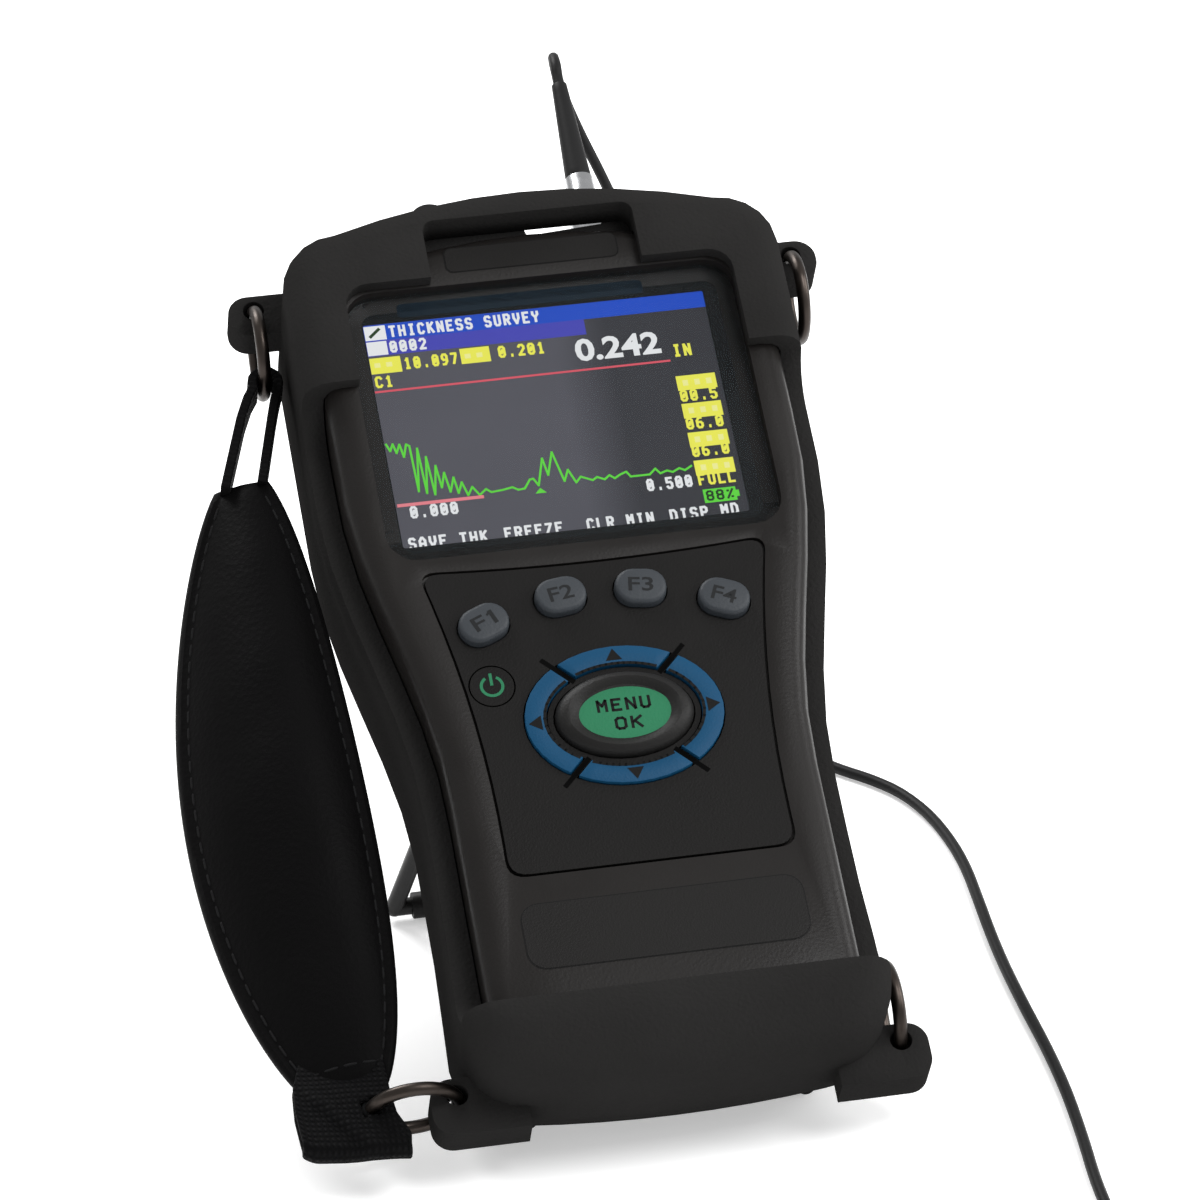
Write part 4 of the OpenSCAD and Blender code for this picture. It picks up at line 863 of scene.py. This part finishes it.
# Bands in from the pad's edge: to the top of the piping, to the seam, and on to the padded face
PIPING, SEAM, FACE = 0.9, 2.1, 1.0
STITCHES, STITCH_R = 36, 0.24


def pad_frame(t):
    """Swell, half width, half thickness, middle and height of the pad at height share t."""
    bell = math.sin(math.pi * t)
    half = STRAP_HALF * math.sqrt(math.sin(math.pi * t**0.85))
    thick = STRAP_T / 4 * (1 + math.sqrt(bell))
    mid = -STRAP_X - STRAP_BOW * bell - t
    return bell, half, thick, mid, STRAP_LOW + (STRAP_TOP - STRAP_LOW) * t


def pad_height(d, thick):
    """Half thickness of the padding at distance d from the edge."""
    if d < PIPING:
        return 0.25 + 0.75 * math.sqrt(max(0.0, 1 - (1 - d / PIPING) ** 2))
    if d < SEAM:
        return 1.0 - 0.5 * math.sin(math.pi / 2 * (d - PIPING) / (SEAM - PIPING))
    return 0.5 + (thick - 0.5) * (1 - math.exp(-(d - SEAM) / 3.2))


def pad_point(t, u, side):
    """Point of the pad at height share t, u mm across, on the front (-1) or back (1) side."""
    bell, half, thick, mid, z = pad_frame(t)
    s = u / half
    turned = STRAP_TURN * u / (2 * STRAP_HALF)
    cupped = STRAP_T * bell * (s * s - 0.5)
    end = min(1.0, 0.35 + min(t - PAD_END, 1 - PAD_END - t) / 0.025)
    ripple = 0.18 * math.sin(z * 0.31 + u * 0.2) * math.sin(u * 0.35 + 1.3) * bell
    height = pad_height(half - abs(u), thick) * end + ripple * (1 if half - abs(u) > 3.5 else 0)
    return (mid + u, STRAP_Y - turned + cupped + side * height, z)


def make_pad():
    build = Build()
    levels = 72
    edge = [0.0, 0.12, 0.4, PIPING, 1.5, SEAM - 0.25, SEAM, SEAM + 0.3, SEAM + FACE]
    rings = []
    for i in range(levels + 1):
        t = PAD_END + (1 - 2 * PAD_END) * i / levels
        half = pad_frame(t)[1]
        inner = half - SEAM - FACE
        across = [-half + d for d in edge]
        across += [inner * s for s in (-0.72, -0.4, 0.0, 0.4, 0.72)]
        across += [half - d for d in reversed(edge)]
        front = [pad_point(t, u, -1) for u in across]
        back = [pad_point(t, u, 1) for u in reversed(across)]
        rings.append(front + back)
    build.loft(rings)
    pad = add_piece("pad", build, PAD)
    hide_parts("strap_pad")


def add_stitch(build, a, b, lift):
    """One stitch from a to b, with six sides and tapered ends."""
    a, b = Vector(a), Vector(b)
    along = (b - a).normalized()
    out = Vector((0, -1, 0)) * lift
    side = along.cross(out).normalized()
    rings = []
    for share, size in ((0.0, 0.4), (0.15, 1.0), (0.85, 1.0), (1.0, 0.4)):
        mid = a.lerp(b, share)
        rings.append([
            mid + (side * math.cos(k * math.pi / 3) + out * math.sin(k * math.pi / 3)) * STITCH_R * size
            for k in range(6)
        ])
    build.loft(rings)


def make_stitches():
    """Seams along both edges of the pad and across its lower end, on both sides."""
    build = Build()
    step = (0.96 - 2 * PAD_END) / STITCHES
    low_end = PAD_END + 0.03
    for side, lift in ((-1, 1), (1, -1)):
        for edge_side in (-1, 1):
            for i in range(STITCHES):
                t0 = PAD_END + 0.02 + step * i
                ends = [
                    pad_point(t, edge_side * (pad_frame(t)[1] - SEAM), side)
                    for t in (t0, t0 + step * 0.72)
                ]
                add_stitch(build, *ends, lift)
        half = pad_frame(low_end)[1] - SEAM
        for i in range(4):
            u = -half + 2 * half * i / 4
            add_stitch(build, pad_point(low_end, u, side), pad_point(low_end, u + half * 0.36, side), lift)
    add_piece("pad_stitches", build, THREAD, soft=False)


def sweep_band(path, width, thick, y):
    """Flat band along a path in x and z, its width across y."""
    build = Build()
    rings, uvs, run = [], [], 0.0
    section = [(-1, -0.7), (-0.92, -1), (0.92, -1), (1, -0.7), (1, 0.7), (0.92, 1), (-0.92, 1), (-1, 0.7)]
    for i, p in enumerate(path):
        p = Vector(p)
        along = (Vector(path[min(i + 1, len(path) - 1)]) - Vector(path[max(i - 1, 0)])).normalized()
        side = Vector((-along.y, along.x))
        if i:
            run += (p - Vector(path[i - 1])).length
        rings.append([
            (p.x + side.x * b * thick / 2, y + a * width / 2, p.y + side.y * b * thick / 2)
            for a, b in section
        ])
        uvs.append([(a * width / 2, run) for a, b in section])
    build.loft(rings, uvs)
    return build


def make_top_loop():
    """Webbing from the pad's top round the upper left ring and back."""
    width, thick = 5.2, 1.6
    eye = Vector((-46.6, 140.38))
    wire, slack = 1.1, 0.35
    wrap = wire + slack + thick / 2
    left_foot, left_bend = Vector((-56.2, 120.7)), Vector((-51.2, 135.2))
    right_foot, right_bend = Vector((-50.0, 120.9)), Vector((-46.2, 134.5))
    path = [left_foot + (left_bend - left_foot) * s for s in (0, 0.2, 0.45, 0.7, 0.9)]
    path += [(-50.0, 137.6)]
    for a in range(200, -31, -23):
        t = math.radians(a)
        path.append(eye + Vector((math.cos(t), math.sin(t))) * wrap)
    path += [(-45.5, 136.8)]
    path += [right_bend + (right_foot - right_bend) * s for s in (0.05, 0.3, 0.55, 0.8, 1.0)]
    build = sweep_band([tuple(p) for p in path], width, thick, STRAP_Y)
    loop = add_piece("top_loop", build, WEB, woven_uvs=True)
    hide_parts("strap_top_loop")


def between(table, at):
    """Value at a place in a table of rising place, value pairs."""
    for (a, low), (b, high) in zip(table, table[1:]):
        if at <= b:
            return low + (high - low) * max(0.0, (at - a) / (b - a))
    return table[-1][1]


TAIL_LEFT = ((-3.0, -60.0), (-0.6, -60.7), (1.2, -61.2), (6.4, -61.5), (11.0, -61.2), (16.0, -59.4))
TAIL_RIGHT = ((-3.2, -44.4), (-0.4, -44.0), (3.4, -45.8), (7.5, -46.3), (13.0, -46.4))
RING_X, RING_Z, RING_R = -42.77, 4.8, 7.1
SLOT_X = -49.75


def make_bottom_loop():
    """Webbing that comes out of the pad's end, folded at the bottom, with a slot that the ring passes."""
    rows, cols = 33, 31
    gap = 1.5

    def point(w, share, side):
        """Point at share w from left to right and share from top to fold, front (-1) or back (1)."""
        top, low = 15.6 - 2.6 * w, -0.2 - 2.0 * w + 1.3 * max(0.0, 1 - w / 0.12) ** 2
        z = top + (low - top) * share
        spread = gap * min(1.0, 0.25 + 1.6 * share)
        x = between(TAIL_LEFT, z) * (1 - w) + between(TAIL_RIGHT, z) * w
        crease = (x + 56.8) * 0.797 + (z - 6.7) * 0.604
        ridge = 0.45 * math.exp(-((crease / 0.9) ** 2)) * min(1.0, 2 * share) if side < 0 else 0.0
        wave = 0.25 * math.sin(x * 0.55 + z * 0.3) * share
        y = STRAP_Y - STRAP_TURN * (x + STRAP_X) / (2 * STRAP_HALF) * (1 - 0.6 * share)
        return x, y + side * spread + wave - ridge, z

    build = Build()
    rings = []
    for i in range(rows):
        rings.append([point(j / (cols - 1), i / (rows - 1), -1) for j in range(cols)])
    for a in (30, 60, 90, 120, 150):
        t = math.radians(a)
        ring = []
        for j in range(cols):
            x, front, z = point(j / (cols - 1), 1.0, -1)
            back = point(j / (cols - 1), 1.0, 1)[1]
            y = (front + back) / 2 - (back - front) / 2 * math.cos(t)
            ring.append((x, y, z - gap * 0.8 * math.sin(t)))
        rings.append(ring)
    for i in reversed(range(rows)):
        rings.append([point(j / (cols - 1), i / (rows - 1), 1) for j in range(cols)])
    starts, run = [], 0.0
    for i, ring in enumerate(rings):
        if i:
            run += (Vector(ring[0]) - Vector(rings[i - 1][0])).length
        starts.append(build.points(ring, [(p[0], run) for p in ring]))
    for a, b in zip(starts, starts[1:]):
        for j in range(cols - 1):
            corners = (a + j, b + j, b + j + 1, a + j + 1)
            mid = sum((Vector(build.verts[c]) for c in corners), Vector()) / 4
            room = 1.45 if mid.y < STRAP_Y else 1.35
            if abs(mid.x - SLOT_X) > room or abs(mid.z - RING_Z) > room - 0.1:
                build.faces.append(corners)
    loop = add_piece("bottom_loop", build, WEB, woven_uvs=True, soft=False)
    thick = loop.modifiers.new("thick", "SOLIDIFY")
    thick.thickness = 0.0013
    thick.offset = 0.0
    smooth = loop.modifiers.new("smooth", "SUBSURF")
    smooth.levels = 1
    smooth.render_levels = 1
    for face in loop.data.polygons:
        face.use_smooth = True
    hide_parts("strap_bottom_loop")


def make_slot_thread():
    """Thread wound on the lower left ring's wire where it passes the webbing."""
    end = 16
    rings = []
    for a in range(-end, end + 1, 4):
        t = math.radians(a)
        fat = 1.13 if abs(a) == end else 1.5 + (0.06 if a % 8 else 0.0)
        turns = [k * math.pi / 8 for k in range(16)]
        reach = [(RING_R + fat * math.cos(k), fat * math.sin(k)) for k in turns]
        rings.append([(RING_X - r * math.cos(t), STRAP_Y + r * math.sin(t), RING_Z + z) for r, z in reach])
    build = Build()
    build.loft(rings, caps=False)
    add_piece("slot_thread", build, THREAD)


make_pad()
make_stitches()
make_top_loop()
make_bottom_loop()
make_slot_thread()


# Floor and light


def make_stage():
    """White floor, just below the table's level."""
    mesh = bpy.data.meshes.new("floor")
    size = 3.0
    corners = [(-size, -size, 0), (size, -size, 0), (size, size, 0), (-size, size, 0)]
    mesh.from_pydata(corners, [], [(0, 1, 2, 3)])
    white = (1, 1, 1, 1)
    made = Shader("floor_paint", (0.86, 0.86, 0.86), 0.7, Emission_Color=white, Emission_Strength=0.4)
    made.vary_color(made.noise(3), 0.99, 1.01)
    mesh.materials.append(made.material)
    floor = bpy.data.objects.new("floor", mesh)
    bpy.context.collection.objects.link(floor)
    floor.location.z = -0.0002


# Disk lights: place, size and power, all turned to one target
LIGHT_TARGET = Vector((0, 0, 0.05))
LIGHTS = {
    "key": ((0.5, -0.45, 1.05), 0.6, 9),
    "right": ((0.9, -0.1, 0.5), 0.5, 6),
    "back": ((-0.35, 0.8, 0.85), 0.6, 11),
}


def add_light(name, place, size, power):
    data = bpy.data.lights.new(name, "AREA")
    data.shape = "DISK"
    data.size = size
    data.energy = power
    light = bpy.data.objects.new(name, data)
    bpy.context.collection.objects.link(light)
    light.location = place
    light.rotation_euler = (LIGHT_TARGET - Vector(place)).to_track_quat("-Z", "Y").to_euler()


def make_light():
    world = bpy.data.worlds.new("studio")
    world.use_nodes = True
    background = world.node_tree.nodes["Background"]
    background.inputs["Color"].default_value = (1, 1, 1, 1)
    background.inputs["Strength"].default_value = 0.7
    bpy.context.scene.world = world
    for name, light in LIGHTS.items():
        add_light(name, *light)
    bpy.context.scene.view_settings.view_transform = "Standard"


make_stage()
make_light()
